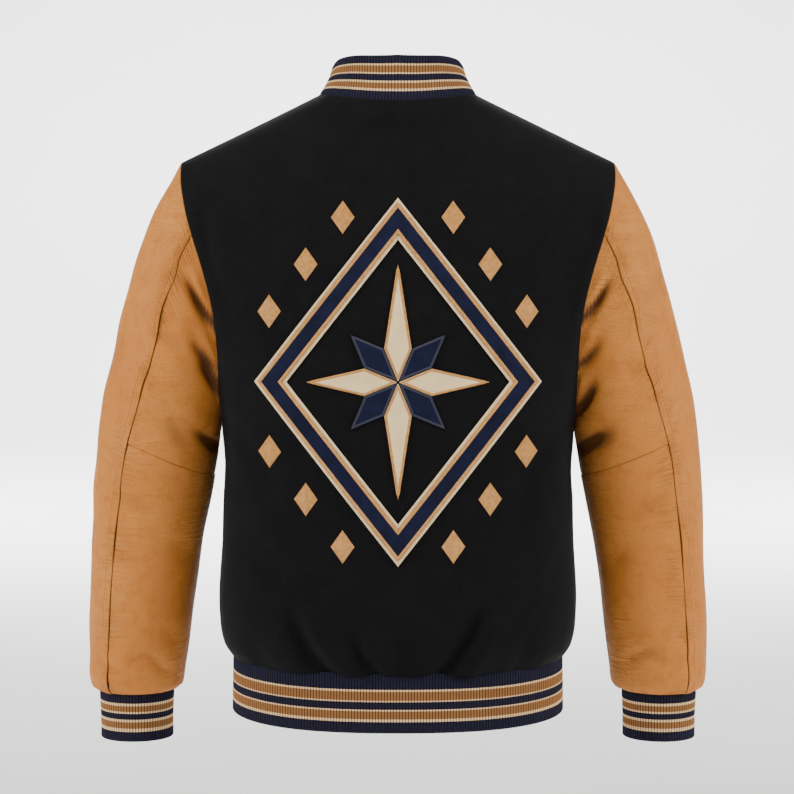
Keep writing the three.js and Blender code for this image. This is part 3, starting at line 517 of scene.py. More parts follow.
def melton(place):
    """Felted wool: a short nap with tiny flecks, a little uneven in its black, and darkened in its
    creases with painted shade.
    """
    nap = place.noise(900, 4, 0.65)
    cloud = place.noise(38, 3)
    fleck = place.noise(420, 2, 0.8).above(0.56, 0.74)
    base = cloud.above(0.3, 0.7).blend(colour(11, 11, 13), colour(14, 14, 16))
    flecked = (fleck * 0.5).blend(base, colour(30, 30, 32))
    crease = place.node("Attribute", {"attribute_name": "crease"}, {}, 2)
    # Painted shade: the black darkens towards near black the deeper a point lies in a crease
    tint = (crease * 0.75).blend(flecked, colour(3, 3, 4))
    height = nap * 0.5 + place.noise(260, 3, 0.6) * 0.8
    bump = place.node("Bump", {}, {"Height": height, "Strength": 0.55, "Distance": 0.0007})
    return {"Base Color": tint, "Normal": bump, "Roughness": nap * 0.12 + 0.84}


wool = finish("wool", melton, Sheen_Weight=0.03, Sheen_Roughness=0.5, Specular_IOR_Level=0.12)


def join_piece(piece, material, slot, *nodes):
    """Gives a piece its finish, makes it ride on the jacket and stand for its solids."""
    piece.data.materials.clear()
    piece.data.materials.append(material)
    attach(piece, "root")
    if nodes:
        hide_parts(*nodes)


BODY_MIDDLE = (0, 0, -300)

left_half = half_panel("back", PANEL_SHARES)
right_half = left_half[:, :0:-1] * (-1, 1, 1)
back_form = np.concatenate([right_half, left_half], axis=1)
back_points, back_crease_shade = shaped(
    back_form, seam_roll(back_form), BACK_CREASES, 11, BACK_FADE, BACK_GATHERS)
back_panel = lay_cloth(
    "back_panel_wool", back_points, flip=not faces_out(back_points, BODY_MIDDLE), crease=back_crease_shade)
back_surface = BVHTree.FromPolygons(
    [v.co[:] for v in back_panel.data.vertices], [p.vertices[:] for p in back_panel.data.polygons])
thickened(back_panel, WOOL_THICKNESS)
join_piece(back_panel, wool, "wool", "back_panel")


# Fronts: the same wool, cut as two pieces. The left one laps 30 mm over the right one down the
# centre, where the snaps close it.

OVERLAP = 15
OVERLAP_EASE = 20
OVERLAP_EASE_FROM = 2
UNDERLAP_INSET = 2.6
FOLD_STEP = 3.2
FOLD_SHARES = np.linspace(0, 0.2, 41)
FRONT_FADE = 26
FRONT_GATHERS = 1.0
FRONT_CREASES = [
    (-84, -528, -52, -600, -5, 15, 3.0, 0.4),
    (98, -518, 66, -600, 5, 15, 3.2, 0.4),
    (30, -556, 22, -600, 2, 10, 1.7, 0.3),
    (-136, -560, -122, -600, 2, 11, 1.8, 0.3),
    (146, -556, 130, -600, -2, 11, 2.0, 0.3),
    (-200, -120, -176, -240, -6, 13, 2.6, 0.5),
    (202, -116, 178, -230, 6, 13, 2.4, 0.5),
    (158, -352, 92, -424, 6, 15, 2.3, 0.4),
    (-160, -346, -100, -430, -7, 15, 2.5, 0.4),
    (-168, -392, -110, -470, -6, 16, 1.6, 0.3),
    (70, -120, 34, -196, -5, 20, 1.3, 0.2),
    (-66, -116, -32, -188, 5, 20, 1.2, 0.2),
]


def front_form():
    """A front from its free edge, past the centre line, to the side seam and armhole."""
    half = half_panel("front", PANEL_SHARES)
    fine = half_panel("front", FOLD_SHARES)
    lap = OVERLAP * (1 - spaced(OVERLAP, FOLD_STEP, dense_end=False))[:-1]
    rows = []
    for row, line in zip(half, fine):
        folded = np.stack([np.interp(lap, line[:, 0], line[:, k]) for k in range(3)], -1)
        rows.append(np.concatenate([folded * (-1, 1, 1), row]))
    return np.array(rows)


def front_panel(name, sign, inset, seed):
    """A front that goes in by the inset where the other one laps over it."""
    form = front_form()
    roll = seam_roll(form)
    past_lap = form[..., 0] - OVERLAP - OVERLAP_EASE_FROM
    form[..., 1] += inset * (1 - ease(past_lap / OVERLAP_EASE))
    form = form * (sign, 1, 1)
    points, crease = shaped(form, roll, FRONT_CREASES, seed, FRONT_FADE, FRONT_GATHERS)
    cloth = lay_cloth(name, points, flip=not faces_out(points, BODY_MIDDLE), crease=crease)
    return thickened(cloth, WOOL_THICKNESS)


front_left = front_panel("front_left_wool", 1, 0, 21)
join_piece(front_left, wool, "wool", "front_left")
front_right = front_panel("front_right_wool", -1, UNDERLAP_INSET, 25)
join_piece(front_right, wool, "wool", "front_right")


# Sleeves: tan leather, each cut as a top sleeve and an under-sleeve that is joined again at the
# elbow. The top sleeve's back edge is lapped over the seam and topstitched.

LEATHER_THICKNESS = 1.8
FRONT_SEAM_TURN = 120
ELBOW_ROW = 6.5
LAST_ROW = 14
LAP_WIDTH = 9.5
LAP_HEIGHT = 0.9
LAP_STEP = 2.2
SLEEVE = smooth_table(["at", "outX", "outZ", "inX", "inZ", "depth", "y", "armhole"], [
    (0, 230.0, -68, 188.3, -343.5, 60.0, 0, 1.0),
    (1, 249.5, -102, 188.6, -347.0, 63.0, 0, 0.72),
    (2, 268.0, -141, 189.0, -351.5, 66.0, 1, 0.42),
    (3, 282.0, -184, 189.8, -357.0, 68.0, 2, 0.2),
    (4, 294.5, -230, 191.0, -365.0, 69.0, 3, 0.07),
    (5, 305.5, -278, 192.6, -376.0, 68.0, 3, 0.0),
    (6, 316.0, -323, 194.5, -391.0, 66.5, 3, 0.0),
    (7, 322.0, -371, 198.5, -411.0, 63.5, 2, 0.0),
    (8, 326.0, -417, 203.5, -437.0, 60.5, 0, 0.0),
    (9, 329.0, -470, 211.0, -474.0, 57.0, -4, 0.0),
    (10, 332.0, -526, 219.0, -527.0, 53.5, -9, 0.0),
    (11, 334.5, -577, 225.5, -575.0, 50.5, -13, 0.0),
    (12, 335.0, -609, 230.0, -607.0, 48.0, -16, 0.0),
    (13, 333.0, -630, 233.5, -630.0, 43.5, -18, 0.0),
    (14, 325.3, -637, 243.7, -637.0, 37.2, -18, 0.0),
])
BACK_SEAM = smooth_table(["at", "turn"], [
    (0, 65), (0.8, 66.2), (1.5, 70), (2.3, 70.5), (3.2, 74), (4, 75), (4.8, 72.4), (5.6, 71.6), (7, 66),
    (8.1, 64.6), (9.0, 61.6), (10, 60.4), (11.2, 59.6), (12.3, 58), (14, 58)])

# The same columns as the body's creases, and the wearer's right is read as if it were the left
SLEEVE_CREASES = {
    ("left", "back"): [
        (217, -196, 163, -266, -5, 5.5, 8.0, 0.7),
        (212, -258, 160, -300, -5, 6, 5.6, 0.7),
        (202, -282, 164, -360, 3, 6.5, 8.5, 0.6),
        (209, -350, 168, -410, 3, 8.5, 7.5, 0.4),
        (248, -252, 222, -268, 3, 9, 1.6, 0.4),
        (236, -330, 206, -384, -5, 12, 2.6, 0.3),
        (246, -196, 222, -176, -3, 10, 1.7, 0.5),
        (300, -420, 252, -434, 3, 11, 1.6, 0.3),
        (312, -300, 296, -232, -3, 15, 1.5, 0.3),
        (246, -466, 218, -492, 4, 12, 2.2, 0.4),
        (290, -604, 262, -590, 3, 6, 1.7, 0.5),
        (262, -592, 246, -612, -2, 6, 1.9, 0.4),
        (322, -596, 300, -610, -2, 7, 1.3, 0.4),
        (252, -560, 236, -582, 3, 8, 1.6, 0.4),
    ],
    ("left", "front"): [
        (216, -210, 198, -262, 4, 11, 5.0, 0.4),
        (240, -270, 200, -330, 5, 12, 4.5, 0.4),
        (262, -356, 206, -392, 4, 13, 3.4, 0.4),
        (308, -410, 228, -446, 6, 14, 3.0, 0.4),
        (322, -470, 246, -486, 4, 13, 2.1, 0.4),
        (316, -594, 252, -606, 3, 9, 2.2, 0.4),
    ],
    ("right", "back"): [
        (218, -197, 163, -255, -5, 5.5, 7.8, 0.7),
        (209, -258, 158, -304, -4, 6, 5.6, 0.7),
        (203, -302, 158, -370, -4, 6.5, 8.5, 0.6),
        (211, -350, 170, -412, 3, 9, 7.0, 0.4),
        (226, -344, 204, -372, -4, 11, 2.8, 0.3),
        (262, -284, 236, -292, 2, 9, 1.4, 0.4),
        (282, -176, 262, -226, 5, 13, 1.5, 0.5),
        (286, -410, 240, -440, -4, 12, 1.8, 0.3),
        (244, -470, 216, -504, -3, 12, 2.4, 0.4),
        (296, -600, 268, -588, -3, 7, 1.6, 0.4),
        (270, -584, 240, -604, 3, 7, 2.0, 0.4),
        (318, -606, 300, -592, 2, 7, 1.2, 0.4),
    ],
    ("right", "front"): [
        (218, -204, 196, -256, 5, 11, 4.6, 0.4),
        (246, -262, 202, -318, -5, 12, 4.6, 0.4),
        (258, -350, 208, -400, 4, 13, 3.2, 0.4),
        (312, -404, 232, -438, -6, 14, 3.2, 0.4),
        (318, -476, 242, -498, 4, 13, 2.0, 0.4),
        (318, -600, 250, -592, -3, 9, 2.3, 0.4),
    ],
}


def sleeve_section(at, turn):
    """The left sleeve's oval at its rows. The turn runs from the outer side over the back."""
    section = {name: track(at) for name, track in SLEEVE.items()}
    outer = (1 + np.cos(turn)) / 2
    return np.stack([
        section["inX"] + (section["outX"] - section["inX"]) * outer,
        section["y"] + section["depth"] * np.sin(turn),
        section["inZ"] + (section["outZ"] - section["inZ"]) * outer,
    ], -1)


def sleeve_form(at, turn):
    """The left sleeve's smooth form, which leaves the armhole's curve for its own ovals."""
    to_armhole = armhole_point(turn) - sleeve_section(0, turn)
    return sleeve_section(at, turn) + to_armhole * SLEEVE["armhole"](at)[..., None]


def sleeve_piece(rows, columns, is_top):
    """The smooth form of a sleeve piece between its two long seams, with each point's row and turn
    and its direction out of the sleeve."""
    back_seam = BACK_SEAM["turn"](rows)
    seams = (-FRONT_SEAM_TURN, back_seam) if is_top else (back_seam, 360 - FRONT_SEAM_TURN)
    start, end = (np.radians(np.broadcast_to(turns, rows.shape))[:, None] for turns in seams)
    turn = start + (end - start) * columns
    at = np.repeat(rows[:, None], len(columns), axis=1)
    form = sleeve_form(at, turn)
    out = directions(form)
    if np.sum(out * (form - sleeve_middle(at))) < 0:
        out = -out
    return form, out, at, np.degrees(turn)


def sleeve_middle(at):
    """The middle of the sleeve at its rows."""
    return np.stack([
        (SLEEVE["inX"](at) + SLEEVE["outX"](at)) / 2,
        SLEEVE["y"](at),
        (SLEEVE["inZ"](at) + SLEEVE["outZ"](at)) / 2,
    ], -1)


LEATHER_CREASE_SCALE = 1.3
DEEP_LEATHER_CREASE = 5.8
CREASE_SHADE_POWER = 1.5
CREASES_FROM_ROW = 0.8
LEATHER_WAVE_DEPTH = 1.5
LEATHER_WAVE_LENGTH = 70
WAVES_END_ROWS = 1.5
CUFF_ROW_HEIGHT = 12
CUFF_GATHER_PITCH = 15
CUFF_GATHER_DEPTH = 1.2


def sleeve_folds(form, out, at, side, seed):
    """How far in a sleeve's creases, low waves and cuff gathers go, and how deep in a fold each point
    is, as painted shade for its finish."""
    x, y, z = form[..., 0], form[..., 1], form[..., 2]
    behind = np.clip(out[..., 1], 0, 1) ** 0.5
    before = np.clip(-out[..., 1], 0, 1) ** 0.7
    on_back, on_front = (
        LEATHER_CREASE_SCALE * creases(SLEEVE_CREASES[side, face], x, z) for face in ("back", "front"))
    from_armhole = ease(at / CREASES_FROM_ROW)
    depth = (on_back * behind + on_front * before) * from_armhole
    waves = ripples(x, y, z, LEATHER_WAVE_LENGTH, seed) * from_armhole
    depth += LEATHER_WAVE_DEPTH * waves * ease((LAST_ROW - at) / WAVES_END_ROWS)
    to_cuff = (LAST_ROW - at) * CUFF_ROW_HEIGHT
    depth += puckered(form, to_cuff, CUFF_GATHER_PITCH, CUFF_GATHER_DEPTH, seed + 3)
    # Painted shade from the creases: their depth where a point faces the side that its table is for
    seen_crease_shade = np.maximum(on_back * np.clip(out[..., 1] * 2 + 0.6, 0, 1), on_front * before)
    return depth, np.clip(seen_crease_shade / DEEP_LEATHER_CREASE, 0, 1) ** CREASE_SHADE_POWER


INNER_TURN = 188
INNER_WIDTH = 56
INNER_SHADE = 0.42
ELBOW_SHADE = 0.53
ELBOW_SHADE_ROW = 6.4
ELBOW_SHADE_ROWS = 3.0


def inner_shade(at, turn):
    """How much in the shade of the arm the inner side is, most at the elbow."""
    at_elbow = np.exp(-((at - ELBOW_SHADE_ROW) / ELBOW_SHADE_ROWS) ** 2)
    return np.exp(-((turn - INNER_TURN) / INNER_WIDTH) ** 2) * (INNER_SHADE + ELBOW_SHADE * at_elbow)


def sleeve_uv(points, seam_at_end):
    """Metres from the back seam, positive on the lap's side, and metres along it."""
    across = from_edge(points, 1, seam_at_end) * (1 if seam_at_end else -1)
    along_seam = from_edge(points, 0)[:, -1 if seam_at_end else 0]
    along = np.repeat(along_seam[:, None], points.shape[1], axis=1)
    return np.stack([across, along], -1) * 0.001


STITCH_SPACING = 4.4
STITCH_LENGTH = 3.1
STITCH_WIDTH = 0.62
STITCHES_FROM_EDGE = 1.8


def tan_leather(place):
    """Soft cowhide with a fine pebbled grain, a little uneven in its tan, with painted shade in its
    folds and on the sleeve's inner side. Fine pulled lines run across the seam, darkened with painted
    shade, and the lap's row of stitches draws it in."""
    follow = place.node("UVMap", {"uv_map": "UVMap"})
    across, along = (follow.node("SeparateXYZ", {}, {0: follow}, k) for k in (0, 1))
    from_seam = across.math("ABSOLUTE", across)
    crease = place.node("Attribute", {"attribute_name": "crease"}, {}, 2)
    pebble = place.node("TexVoronoi", {"feature": "SMOOTH_F1"}, {
        "Vector": place, "Scale": 620.0, "Smoothness": 0.6, "Randomness": 1.0})
    cloud = place.noise(9, 4, 0.55)
    mottle = place.noise(75, 3, 0.6)
    base = cloud.above(0.3, 0.72).blend(colour(201, 125, 53), colour(213, 139, 64))
    shade = (mottle.above(0.45, 0.75) * 0.45).blend(base, colour(180, 102, 34))
    pores = (pebble.above(0.25, 0.75) * 0.16).blend(shade, colour(150, 78, 22))
    # Painted shade: the crease attribute darkens the tan to dark brown in deep folds and on the
    # sleeve's inner side
    folded = (crease * 0.88).blend(pores, colour(48, 23, 8))
    near_seam = 1 - from_seam.above(0.004, 0.03)
    lines = place.node("CombineXYZ", {}, {0: across * 22.0, 1: along * 300.0}).noise(1.0, 3, 0.55)
    pulled = lines.above(0.4, 0.68) * near_seam * place.noise(26, 2).above(0.38, 0.6)
    level_lines = place.stretched(34, 34, 230).noise(1.0, 3, 0.6)
    slack = level_lines.above(0.42, 0.72) * cloud.above(0.4, 0.62)
    stitched = across.above(0.0064, 0.0077) * (1 - across.above(0.0077, 0.0090))
    dimple = along.math("SINE", along * (2 * math.pi / (STITCH_SPACING * 0.001))) * 0.4 + 0.6
    seam_line = ((1 - from_seam.above(0.0002, 0.0009)) * 0.6).blend(folded, colour(96, 48, 14))
    # Painted shade in the fine pulled lines near the seam, and a darker band along the lap's stitch
    # line
    tint = (stitched * 0.25 + pulled * 0.12).blend(seam_line, colour(140, 76, 24))
    height = (pebble * -0.3 + mottle * 0.6 + pulled * 4.0 + slack * 3.0 - stitched * dimple * 1.5
              + place.noise(1500, 2) * 0.1)
    bump = place.node("Bump", {}, {"Height": height, "Strength": 0.6, "Distance": 0.0008})
    return {"Base Color": tint, "Normal": bump, "Roughness": mottle * 0.14 + pebble * 0.08 + 0.52}


def waxed_thread(place):
    """Thick waxed thread, a little uneven along its twist."""
    tint = place.noise(700, 2).blend(colour(200, 134, 66), colour(228, 166, 98))
    return {"Base Color": tint, "Roughness": place.noise(500, 2) * 0.2 + 0.5}


leather = finish("tan_leather", tan_leather, Specular_IOR_Level=0.2)
leather_thread = finish("leather_thread", waxed_thread)

SLEEVE_STEP = 3.0
ROWS_ALONG = LAST_ROW * spaced(580, SLEEVE_STEP)
ELBOW_SHARE = spaced(275, SLEEVE_STEP)
UPPER_ROWS = ELBOW_ROW * ELBOW_SHARE
LOWER_ROWS = ELBOW_ROW + (LAST_ROW - ELBOW_ROW) * ELBOW_SHARE
TOP_COLUMNS = spaced(250, SLEEVE_STEP)
UNDER_COLUMNS = spaced(170, SLEEVE_STEP)
LEATHER_SEAM_ROLL = (3.0, 1.3)
BACK_SEAM_ROLL = (1.5, 0.7)
ROLL_FROM_ROW = 0.35
LAP_FROM_ROW = 0.25
ARMHOLE_TUCK = 1.4


def sleeve_inset(form, at, is_top):
    """How far in the seams roll a sleeve piece, and how far out the lap lifts the top one."""
    to_back_seam = from_edge(form, 1, is_top)
    to_end = np.minimum(from_edge(form, 0), from_edge(form, 0, True))
    to_other_seam = np.minimum(to_end, from_edge(form, 1, not is_top))
    inset = rolled(to_other_seam, *LEATHER_SEAM_ROLL) * ease(at / ROLL_FROM_ROW)
    inset = np.maximum(inset, rolled(to_back_seam, *BACK_SEAM_ROLL))
    if is_top:
        lap = 1 - ease((to_back_seam - LAP_WIDTH) / LAP_STEP)
        inset = inset - LAP_HEIGHT * lap * ease(at / LAP_FROM_ROW)
    return inset


def tucked_in(edge):
    """The edge at the armhole, moved in under the wool so that nothing shows through the seam."""
    inward = (np.array((0, 0, ARMHOLE_MIDDLE_Z)) - edge) * (1, 2, 0.8)
    return edge + inward / np.linalg.norm(inward, axis=1, keepdims=True) * ARMHOLE_TUCK


def sleeve_cloth(name, side, rows, columns, is_top, seed):
    """A sleeve piece, and its points as they lie on the left sleeve."""
    form, out, at, turn = sleeve_piece(rows, columns, is_top)
    depth, crease = sleeve_folds(form, out, at, side, seed)
    points = form - out * (depth + sleeve_inset(form, at, is_top))[..., None]
    if rows[0] == 0:
        points[0] = tucked_in(points[0])
    way = (1 if side == "left" else -1, 1, 1)
    flip = not faces_out(points * way, sleeve_middle(at) * way)
    # The painted shade for the leather's finish: the deeper of the fold's and the inner side's
    shade = np.maximum(crease, inner_shade(at, turn))
    cloth = lay_cloth(name, points * way, sleeve_uv(form, is_top), flip, shade)
    return thickened(cloth, LEATHER_THICKNESS), points


def stitches(name, path, outward):
    """A row of short threads along a path of places, each sunk a little into the cloth."""
    lengths = np.append(0, np.cumsum(np.linalg.norm(np.diff(path, axis=0), axis=1)))
    places = np.arange(STITCH_SPACING, lengths[-1] - STITCH_SPACING, STITCH_SPACING)

    def at(values, distances):
        return np.stack([np.interp(distances, lengths, values[:, k]) for k in range(3)], -1)

    middle = at(path, places)
    way = at(path, places + 0.5) - at(path, places - 0.5)
    way /= np.linalg.norm(way, axis=1, keepdims=True)
    out = at(outward, places)
    out /= np.linalg.norm(out, axis=1, keepdims=True)
    across = np.cross(way, out)
    bpy.ops.mesh.primitive_cylinder_add(vertices=6, radius=0.5, depth=1, rotation=(0, math.pi / 2, 0))
    one = bpy.context.object
    bpy.ops.object.transform_apply(location=True, rotation=True, scale=True)
    bpy.ops.object.mode_set(mode="EDIT")
    bpy.ops.mesh.select_all(action="SELECT")
    bpy.ops.mesh.bevel(offset=0.18, segments=1)
    bpy.ops.object.mode_set(mode="OBJECT")
    shape = np.array([v.co[:] for v in one.data.vertices])
    faces = [tuple(p.vertices) for p in one.data.polygons]
    bpy.data.objects.remove(one)
    body = (
        middle[:, None] + way[:, None] * shape[None, :, :1] * STITCH_LENGTH
        + across[:, None] * shape[None, :, 1:2] * STITCH_WIDTH
        + out[:, None] * shape[None, :, 2:] * STITCH_WIDTH * 0.8)
    mesh = bpy.data.meshes.new(name)
    count = len(shape)
    mesh.from_pydata(
        (body.reshape(-1, 3) * 0.001).tolist(), [],
        [tuple(v + k * count for v in face) for k in range(len(places)) for face in faces])
    row = bpy.data.objects.new(name, mesh)
    bpy.context.scene.collection.objects.link(row)
    mesh.polygons.foreach_set("use_smooth", np.ones(len(mesh.polygons), bool))
    return row


for side, sign, seed in (("left", 1, 40), ("right", -1, 60)):
    top, top_points = sleeve_cloth(
        f"sleeve_top_{side}_leather", side, ROWS_ALONG, TOP_COLUMNS, True, seed)
    upper, _ = sleeve_cloth(
        f"sleeve_under_upper_{side}_leather", side, UPPER_ROWS, UNDER_COLUMNS, False, seed + 7)
    lower, _ = sleeve_cloth(
        f"sleeve_under_lower_{side}_leather", side, LOWER_ROWS, UNDER_COLUMNS, False, seed + 11)
    join_piece(top, leather, "leather", f"sleeve_top_{side}")
    join_piece(upper, leather, "leather", f"sleeve_under_upper_{side}")
    join_piece(lower, leather, "leather", f"sleeve_under_lower_{side}")
    to_seam = from_edge(top_points, 1, True)
    column = np.argmin(np.abs(to_seam - (LAP_WIDTH - STITCHES_FROM_EDGE)), axis=1)
    out = directions(top_points)
    picked = np.arange(len(column))
    line, line_out = top_points[picked, column][2:-6], out[picked, column][2:-6]
    if np.sum(line_out[:, 1]) < 0:
        line_out = -line_out
    row = stitches(f"lap_stitches_{side}", line * (sign, 1, 1), line_out * (sign, 1, 1))
    join_piece(row, leather_thread, "leather")


# Hem band: navy rib knit with gold and cream stripes, folded double along its lower edge and sewn
# to the body. Its ends lap under the last snap.

RIB_KNIT = 2.8
RIB_RELIEF = 0.75
COLUMNS_PER_RIB = 4
SEAM_TUCK = 2.6
RIB_SEAM_ROLL = (3.0, 1.4)
RIB_INNER_ROLL = 0.3
RIB_EDGE_ANGLE = 70
FACE_ROWS = 16
BEND_ROWS = 9
SAME_PLACE = 0.00002
GROOVE = np.array([0, 0.2, 1, 0.2])
HEM_HALF_WIDTH = 177.0
HEM_HALF_DEPTH = 107.5
HEM_HEIGHT = 59
HEM_RIBS = 318
HEM_LAP_CLEARANCE = 0.6
HEM_SWAY = 1.1
HEM_SWAY_LENGTH = 150
HEM_STRIPES = (0.227, 0.265, 0.418, 0.444, 0.575, 0.602, 0.746, 0.790)


def folded_profile(height):
    """A doubled band's section: distance from its seam, depth into the band, and the way out of the
    cloth, down and in."""
    half = RIB_KNIT / 2
    straight = np.linspace(-SEAM_TUCK, height - half, FACE_ROWS)
    level, whole = np.zeros(FACE_ROWS), np.ones(FACE_ROWS)
    bend = np.radians(np.linspace(0, 180, BEND_ROWS))[1:-1]
    distance = np.concatenate([straight, height - half + half * np.sin(bend), straight[::-1]])
    depth = np.concatenate([level, half - half * np.cos(bend), whole * RIB_KNIT])
    way_down = np.concatenate([level, np.sin(bend), level])
    way_in = np.concatenate([-whole, -np.cos(bend), whole])
    depth += rolled(distance, *RIB_SEAM_ROLL) * np.where(depth < half, 1, RIB_INNER_ROLL)
    return distance, depth, way_down, way_in


def mend(cloth, close_ends=False):
    """Merges a piece's doubled corners, closes its open ends and points its faces outwards."""
    bpy.context.view_layer.objects.active = cloth
    bpy.ops.object.mode_set(mode="EDIT")
    bpy.ops.mesh.select_all(action="SELECT")
    bpy.ops.mesh.remove_doubles(threshold=SAME_PLACE)
    if close_ends:
        bpy.ops.mesh.select_all(action="DESELECT")
        bpy.ops.mesh.select_non_manifold()
        bpy.ops.mesh.fill_holes(sides=0)
    bpy.ops.mesh.select_all(action="SELECT")
    bpy.ops.mesh.normals_make_consistent(inside=False)
    bpy.ops.object.mode_set(mode="OBJECT")


def rib_band(name, place, ribs, height, closed):
    """A doubled band of ribs. place(share, distance) gives points, and the way in from them."""
    distance, depth, way_down, way_in = folded_profile(height)
    shares = np.linspace(0, 1, ribs * COLUMNS_PER_RIB + 1)
    groove = RIB_RELIEF * GROOVE[np.arange(len(shares)) % COLUMNS_PER_RIB]
    rows = []
    for d, inset, down, inwards in zip(distance, depth, way_down, way_in):
        points, way = place(shares, d - groove * down)
        rows.append(points + way * (inset - groove * inwards)[:, None])
    points = np.array([*rows, rows[0]])
    count = np.repeat(shares[None, :] * ribs, len(points), axis=0)
    down = np.append(distance, distance[0]) / height
    uv = np.stack([count, np.repeat(down[:, None], len(shares), axis=1)], -1)
    band = lay_cloth(name, points, uv)
    mend(band, close_ends=not closed)
    bpy.ops.object.shade_smooth_by_angle(angle=math.radians(RIB_EDGE_ANGLE))
    return band


def striped_rib(edges, height, from_seam):
    """Rib knit whose stripes follow the band's height, given from its top edge. The grooves between the
    ribs are darkened with painted shade, and each rib is a column of small knit stitches."""
    navy, cream, gold = colour(26, 27, 50), colour(255, 216, 164), colour(158, 108, 62)
    bands = [navy, cream, gold, cream, navy, cream, gold, cream, navy]
    ends = [0.0, *edges]
    if not from_seam:
        bands, ends = bands[::-1], [0.0, *(1 - e for e in edges[::-1])]

    def recipe(place):
        follow = place.node("UVMap", {"uv_map": "UVMap"})
        rib, down = (follow.node("SeparateXYZ", {}, {0: follow}, k) for k in (0, 1))
        within = rib.math("FRACT", rib)
        off_groove = within.math("ABSOLUTE", within - 0.5)
        uneven = (place.noise(300, 2) - 0.5) * 0.008
        ramp = {"interpolation": "CONSTANT", "stops": list(zip(ends, bands))}
        stripe = down.node("ValToRGB", ramp, {0: down + uneven})
        # Painted shade: the stripe's colour darkens in the grooves between the ribs
        groove_shade = 1 - off_groove.above(0.05, 0.30)
        dark = stripe.node("Mix", {"data_type": "RGBA", "blend_type": "MULTIPLY"}, {
            0: 1.0, 6: stripe, 7: (0.22, 0.18, 0.17, 1)}, 2)
        shaded = (groove_shade * 0.9).blend(stripe, dark)
        fuzz = place.noise(1100, 2).above(0.3, 0.75)
        tint = (fuzz * 0.1).blend(shaded, colour(96, 84, 74))
        slant = off_groove * 1.3
        rows = (down * (height / 1.5) + slant) * (2 * math.pi)
        stitch = rows.math("SINE", rows)
        bump = place.node("Bump", {}, {
            "Height": stitch * 0.5 + fuzz * 0.3, "Strength": 0.5, "Distance": 0.0004})
        return {"Base Color": tint, "Normal": bump, "Roughness": fuzz * 0.1 + 0.82}

    return recipe


HEM_LOOP_TURNS = np.linspace(0, -2 * math.pi, 1441)
SEAM_GAP = 0.3


def oblong(value):
    """A sine or cosine, made fuller towards the body's corners."""
    return np.sign(value) * np.abs(value) ** (2 / OBLONG_POWER)


def hem_loop(growth):
    """The hem's line round the body, from the middle of the front, grown by some millimetres."""
    return np.stack([
        (HEM_HALF_WIDTH + growth) * oblong(np.sin(HEM_LOOP_TURNS)),
        -(HEM_HALF_DEPTH + growth) * oblong(np.cos(HEM_LOOP_TURNS)),
        np.full_like(HEM_LOOP_TURNS, HEM_SEAM_Z - SEAM_GAP)], -1)


def hem_place(shares, down):
    """Points at shares of the hem band's length, and the way into the body from them."""
    top, bottom = hem_loop(0.0), hem_loop(1.0)
    length = np.linalg.norm(np.diff(top, axis=0), axis=1).sum()
    distance = shares * (length + 2 * OVERLAP) - OVERLAP
    round_share = (distance / length) % 1
    level = (down / HEM_HEIGHT)[:, None]
    points = walk(top, round_share) * (1 - level) + walk(bottom, round_share) * level
    ahead = walk(top, (round_share + 0.001) % 1) - walk(top, (round_share - 0.001) % 1)
    inward = np.stack([ahead[:, 1], -ahead[:, 0], np.zeros_like(shares)], -1)
    inward /= np.linalg.norm(inward, axis=1, keepdims=True)
    inward *= -np.sign(np.sum(inward * points, axis=1, keepdims=True))
    points[:, 2] -= down + hem_sag(points[:, 1], HEM_SEAM_Z)
    past_lap = distance - OVERLAP - OVERLAP_EASE_FROM
    under = (RIB_KNIT + HEM_LAP_CLEARANCE) * (1 - ease(past_lap / OVERLAP_EASE))
    sway = HEM_SWAY * ripples(*points.T, HEM_SWAY_LENGTH, 5) * np.clip(level[:, 0], 0, 1) ** 0.7
    return points + inward * (under + sway)[:, None], inward


hem = rib_band("hem_rib_knit", hem_place, HEM_RIBS, HEM_HEIGHT, closed=False)
RIB_GLOSS = {"Sheen_Weight": 0.02, "Specular_IOR_Level": 0.12}
hem_knit = finish("hem_rib_knit", striped_rib(HEM_STRIPES, HEM_HEIGHT, True), **RIB_GLOSS)
join_piece(hem, hem_knit, "rib_knit", "hem_rib")


# Cuffs: tubes of the same rib knit, folded double at the wrist and sewn inside the sleeve ends.
# They narrow a little at half their height.

CUFF_MIDDLE = (284.5, -18, -637.3)
CUFF_HEIGHT = 51
CUFF_TOP = (40.6, 36.6)
CUFF_BOTTOM = (39.2, 35.4)
CUFF_STRIPES = (0.175, 0.227, 0.352, 0.394, 0.519, 0.571, 0.708, 0.779)
CUFF_RIBS = 78
CUFF_WAIST = 0.6


def cuff_place(sign):
    """How a cuff's points are placed: round its wrist, and down from the sleeve's end."""
    def place(shares, down):
        turn = 2 * math.pi * shares
        level = down / CUFF_HEIGHT
        squeeze = CUFF_WAIST * np.sin(math.pi * np.clip(level, 0, 1))
        half_width = CUFF_TOP[0] + (CUFF_BOTTOM[0] - CUFF_TOP[0]) * level - squeeze
        half_depth = CUFF_TOP[1] + (CUFF_BOTTOM[1] - CUFF_TOP[1]) * level - squeeze
        out = np.stack([np.cos(turn), np.sin(turn), np.zeros_like(turn)], -1)
        points = np.stack([
            sign * CUFF_MIDDLE[0] + half_width * out[:, 0],
            CUFF_MIDDLE[1] + half_depth * out[:, 1],
            np.full_like(turn, CUFF_MIDDLE[2]) - down], -1)
        return points, -out

    return place


cuff_knit = finish("cuff_rib_knit", striped_rib(CUFF_STRIPES, CUFF_HEIGHT, True), **RIB_GLOSS)
for side, sign in (("left", 1), ("right", -1)):
    cuff = rib_band(f"cuff_{side}_rib_knit", cuff_place(sign), CUFF_RIBS, CUFF_HEIGHT, closed=True)
    join_piece(cuff, cuff_knit, "rib_knit", f"cuff_{side}")


# Collar: a folded band of the same rib, tallest at the centre back, sewn round the neck. Its ends
# round off where they meet in front.

